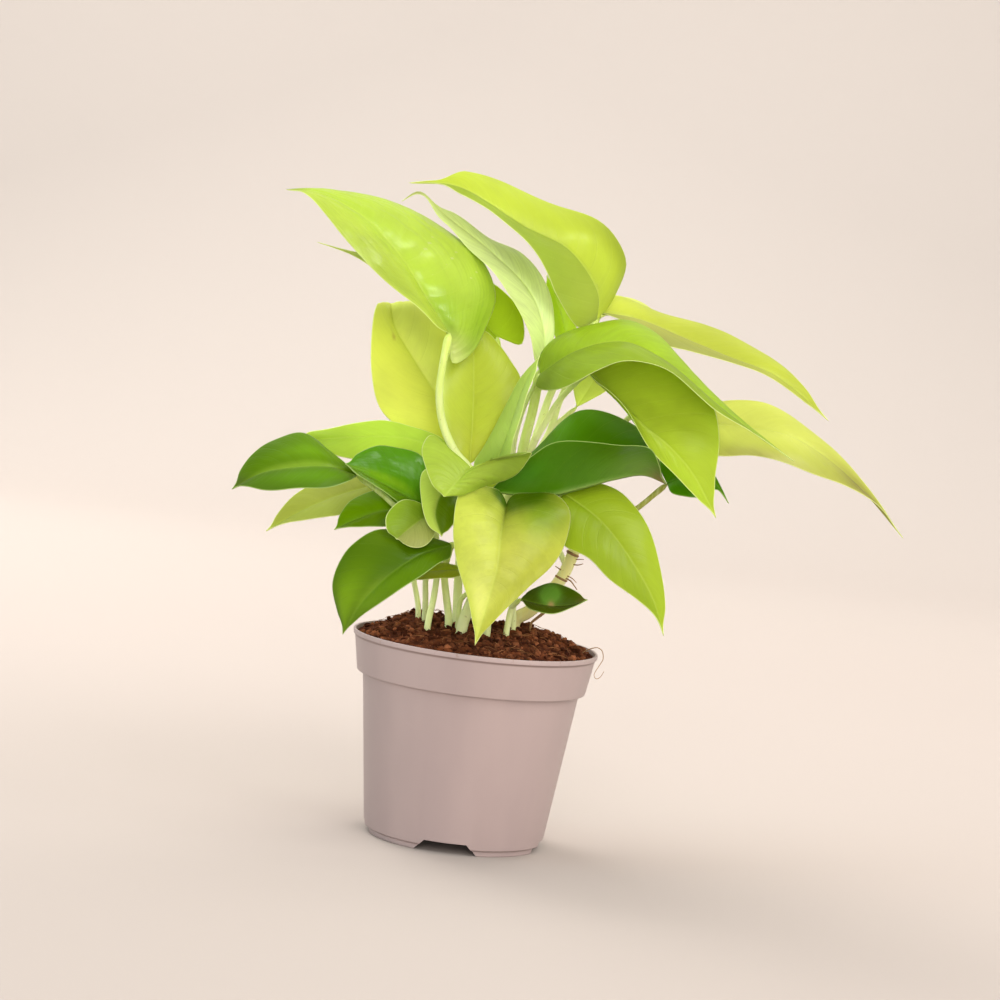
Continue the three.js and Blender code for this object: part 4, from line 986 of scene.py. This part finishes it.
def make_pot():
    profile = [
        (0, 0), (GATE_BOSS_RADIUS, 0), (GATE_BOSS_RADIUS, PANEL_UNDERSIDE),
        (FOOT_RADIUS - WALL, PANEL_UNDERSIDE), (FOOT_RADIUS - WALL, 0), (FOOT_RADIUS, 0),
        (FOOT_RADIUS, 2), (BODY_FOOT_RADIUS, 2.6), (BODY_TOP_RADIUS, COLLAR_FOOT),
        (COLLAR_FOOT_RADIUS, COLLAR_FOOT), (49.25, 79.6), (RIM_RADIUS - 0.05, 80.1),
        (RIM_RADIUS, POT_HEIGHT), (RIM_RADIUS - WALL, POT_HEIGHT),
        (COLLAR_FOOT_RADIUS - WALL, COLLAR_FOOT + WALL), (BODY_TOP_RADIUS - WALL, COLLAR_FOOT + WALL),
        (BODY_FOOT_RADIUS - WALL, PANEL_TOP), (0, PANEL_TOP),
    ]
    obj = new_object("pot_shell", *lathe(rounded(profile, EDGE_ROUNDING), POT_SIDES), POT_SKIN)
    notch = [
        (-NOTCH_FOOT_HALF, -1), (NOTCH_FOOT_HALF, -1), (NOTCH_TOP_HALF, NOTCH_HEIGHT),
        (-NOTCH_TOP_HALF, NOTCH_HEIGHT),
    ]
    notches, drains = Gather(), Gather()
    for turn in map(math.radians, NOTCH_DEGREES):
        notches.take(*prism(notch, turn, 28, 48))
        x, y = DRAIN_RING_RADIUS * math.cos(turn), DRAIN_RING_RADIUS * math.sin(turn)
        middle = (PANEL_UNDERSIDE + PANEL_TOP) / 2
        line = [(x, y, middle + rise) for rise in (-1.6, 0, 1.6)]
        drains.take(*tube(line, [DRAIN_RADIUS] * 3, 32))
    tools = [notches.build("notch_tool", POT_SKIN), drains.build("drain_tool", POT_SKIN)]
    for tool in tools:
        cut = obj.modifiers.new(tool.name, "BOOLEAN")
        cut.operation = "DIFFERENCE"
        cut.solver = "EXACT"
        cut.object = tool
    bpy.context.view_layer.update()
    shown = obj.evaluated_get(bpy.context.evaluated_depsgraph_get())
    cut_mesh = bpy.data.meshes.new_from_object(shown)
    obj.modifiers.clear()
    obj.data = cut_mesh
    cut_mesh.name = "pot_shell"
    for tool in tools:
        bpy.data.objects.remove(tool)
    cut_mesh.shade_smooth()
    cut_mesh.set_sharp_from_angle(angle=math.radians(35))
    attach(obj, "root")
    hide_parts("pot")


# Soil

SOIL_DARK = 0x3A1A0D
SOIL_BROWN = 0x703C22
SOIL_LIGHT = 0x965A3A
FIBRE_TONE = 0xA07048
SOIL_GAP = 0.3
SOIL_SINK = 0.4
SOIL_RINGS = 70
SOIL_SIDES = 200
CRUMBS = 1500
FIBRES = 120
FIBRE_RADII = (0.05, 0.1, 0.12, 0.12, 0.12, 0.1, 0.05)


def relief(x, y):
    """Rough ups and downs of the bed, about one either way."""
    p = Vector((x, y, 0))
    return 0.9 * noise.noise(p * 0.16) + 0.7 * noise.noise(p * 0.42) + 0.35 * noise.noise(p * 1.1)


def make_soil():
    inside = WALL + SOIL_GAP
    top_radius = RIM_RADIUS - WALL - 0.5
    profile = [
        (0, PANEL_TOP + SOIL_GAP), (BODY_FOOT_RADIUS - inside, PANEL_TOP + SOIL_GAP),
        (BODY_TOP_RADIUS - inside, COLLAR_FOOT + inside),
        (COLLAR_FOOT_RADIUS - inside, COLLAR_FOOT + inside),
    ]
    profile += [(top_radius * (1 - k / SOIL_RINGS), SOIL_EDGE_HEIGHT) for k in range(SOIL_RINGS + 1)]
    verts, faces = lathe(profile, SOIL_SIDES)
    for p in verts:
        if p[2] > SOIL_EDGE_HEIGHT - 0.01:
            edge = min(1, (top_radius - math.hypot(p[0], p[1])) / 2)
            p[2] = soil_height(p[0], p[1]) + edge * 1.3 * relief(p[0], p[1]) - SOIL_SINK
    tone = np.array([[min(1, max(0, 0.45 + relief(x, y)))] for x, y, _ in verts])
    obj = new_object("soil_bed", verts, faces, SOIL_SKIN, tint=blend(SOIL_DARK, SOIL_BROWN, tone))
    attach(obj, "root")
    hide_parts("soil")


def icosphere(level):
    made = bpy.data.meshes.new("ball")
    ball = bmesh.new()
    bmesh.ops.create_icosphere(ball, subdivisions=level, radius=1)
    ball.to_mesh(made)
    ball.free()
    verts = np.array([v.co[:] for v in made.vertices])
    faces = [tuple(p.vertices) for p in made.polygons]
    bpy.data.meshes.remove(made)
    return verts, faces


def random_spot(from_wall):
    """A place on the bed at least so many mm from the wall of the pot."""
    r = (RIM_RADIUS - WALL - from_wall) * math.sqrt(rng.random())
    turn = rng.uniform(0, 2 * math.pi)
    return r * math.cos(turn), r * math.sin(turn)


def make_crumbs():
    """Loose crumbs and short fibres of coco peat on the bed."""
    shapes = {1: icosphere(1), 2: icosphere(2)}
    gather = Gather()
    for _ in range(CRUMBS):
        x, y = random_spot(2.2)
        size = 0.35 + 1.1 * rng.random() ** 2.2
        verts, faces = shapes[2 if size > 0.7 else 1]
        turned = np.array(Matrix.Rotation(rng.uniform(0, 6.28), 3, Vector((rng.random(), rng.random(), 1))))
        bumps = np.array([[noise.noise(Vector(v) * 2.1 + Vector((x, y, 0)))] for v in verts])
        stretch = np.array([rng.uniform(0.7, 1.4), rng.uniform(0.7, 1.2), rng.uniform(0.6, 1)])
        z = soil_height(x, y) + 1.1 * relief(x, y) - SOIL_SINK + 0.3 * size
        verts = (verts * (1 + 0.6 * bumps) * stretch * size) @ turned.T + np.array([x, y, z])
        gather.take(verts, faces, blend(SOIL_DARK, SOIL_LIGHT, rng.random() ** 1.6))
    for _ in range(FIBRES):
        x, y = random_spot(5)
        heading = rng.uniform(0, 2 * math.pi)
        length = rng.uniform(3, 9)
        bend = rng.uniform(-1.2, 1.2)
        line = []
        for k in range(7):
            t = k / 6 - 0.5
            a = heading + bend * t
            px, py = x + length * t * math.cos(a), y + length * t * math.sin(a)
            rise = 0.8 + 0.7 * math.cos(math.pi * t) * rng.uniform(0.4, 1)
            line.append((px, py, soil_height(px, py) + rise))
        gather.take(*tube(line, FIBRE_RADII, 5), blend(SOIL_BROWN, FIBRE_TONE, rng.random()))
    obj = gather.build("soil_crumbs", SOIL_SKIN)
    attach(obj, "root")


# Stage, lights and camera

FLOOR_COLOR = 0xA89E97
WALL_COLOR = 0xCCC3BC
FLOOR_FADE = (0.6, 2.5)
GLOW_BAND = (1.0, 2.2)
GLOW_STRENGTH = 0.8
WORLD_COLOR = 0xFFFAF5
WORLD_STRENGTH = 0.35

# Softboxes round the plant and one on the wall: place, width in m and watts
SOFTBOXES = {
    "front": ((0.1, -1.8, 0.5), 1.2, 28),
    "key": ((0.7, -1.1, 1.5), 1.0, 15),
    "side": ((1.4, -0.1, 0.7), 1.0, 10),
    "left": ((-1.4, -0.4, 0.5), 0.9, 7),
    "top": ((-0.25, 0.1, 1.3), 0.9, 7),
    "spark_right": ((1.0, -0.84, 0.2), 0.2, 2.8),
    "spark_high": ((0.66, -0.18, 1.12), 0.25, 2),
    "back_right": ((0.6, 1.0, 1.2), 1.0, 10),
    "back_left": ((-0.8, 0.9, 1.1), 1.0, 20),
    "wall": ((-0.3, 0.8, 2.0), 1.5, 27),
}
PLANT_MIDDLE = (0, 0, 0.14)
AIMS = {"wall": (-0.3, 2.3, 1.1)}
WARM = (1.0, 0.985, 0.96)
TONES = {"left": (0.62, 0.88, 1.0)}
ONLY_GLOSS = ("spark_right", "spark_high")
SEEN_IN_GLOSS = ("key", *ONLY_GLOSS)

# The photograph's camera looks slightly down and is rolled a little: degrees, mm and m
CAMERA_DOWN = 4.4
CAMERA_ROLL = 6.8
CAMERA_LENS = 106.4
CAMERA_AIM = (0.003, 0, 0.14)
CAMERA_DISTANCE = 1.2


def make_stage():
    """Pale floor that sweeps up behind into a plain wall, and a wide floor just under it, in m."""
    front, flat, bend, top, half = -3.5, 1.3, 1.0, 3.2, 4.5
    line = [(front, 0)]
    line += [(flat + bend * math.sin(a), bend * (1 - math.cos(a))) for a in np.linspace(0, math.pi / 2, 25)]
    line += [(flat + bend, top)]
    verts = [(x / MM, y / MM, z / MM) for y, z in line for x in (-half, half)]
    faces = [(2 * k, 2 * k + 1, 2 * k + 3, 2 * k + 2) for k in range(len(line) - 1)]
    paper = floor_material()
    new_object("floor", verts, faces, paper)
    far, under = 30 / MM, -2
    corners = [(-far, -far, under), (far, -far, under), (far, far, under), (-far, far, under)]
    new_object("far_floor", corners, [(0, 1, 2, 3)], paper)


def make_lights():
    for name, (place, width, watts) in SOFTBOXES.items():
        data = bpy.data.lights.new(name, "AREA")
        data.shape = "DISK"
        data.size = width
        data.energy = watts
        data.color = TONES.get(name, WARM)
        lamp = bpy.data.objects.new(name, data)
        lamp.location = place
        lamp.visible_glossy = name in SEEN_IN_GLOSS
        lamp.visible_diffuse = name not in ONLY_GLOSS
        aim = Vector(AIMS.get(name, PLANT_MIDDLE)) - Vector(place)
        lamp.rotation_euler = aim.to_track_quat("-Z", "Y").to_euler()
        bpy.context.collection.objects.link(lamp)
    world = bpy.data.worlds.new("studio")
    world.use_nodes = True
    back = world.node_tree.nodes["Background"]
    back.inputs[0].default_value = rgba(WORLD_COLOR)
    back.inputs[1].default_value = WORLD_STRENGTH
    bpy.context.scene.world = world


def make_camera():
    down = Matrix.Rotation(math.radians(90 - CAMERA_DOWN), 4, "X")
    roll = Matrix.Rotation(math.radians(CAMERA_ROLL), 4, "Z")
    back = Matrix.Translation((0, 0, CAMERA_DISTANCE))
    data = bpy.data.cameras.new("camera")
    data.lens = CAMERA_LENS
    data.clip_start = 0.05
    camera = bpy.data.objects.new("camera", data)
    camera.matrix_world = Matrix.Translation(CAMERA_AIM) @ down @ roll @ back
    bpy.context.collection.objects.link(camera)
    bpy.context.scene.camera = camera


bpy.context.scene.view_settings.view_transform = "Standard"
make_camera()
make_lights()
make_stage()
make_pot()
make_soil()
make_crumbs()
for vine_name, vine_stems in VINES.items():
    make_vine(vine_name, vine_stems)
for leaf_key, leaf_spec in LEAVES.items():
    make_blade(leaf_key, *leaf_spec)
make_roots()
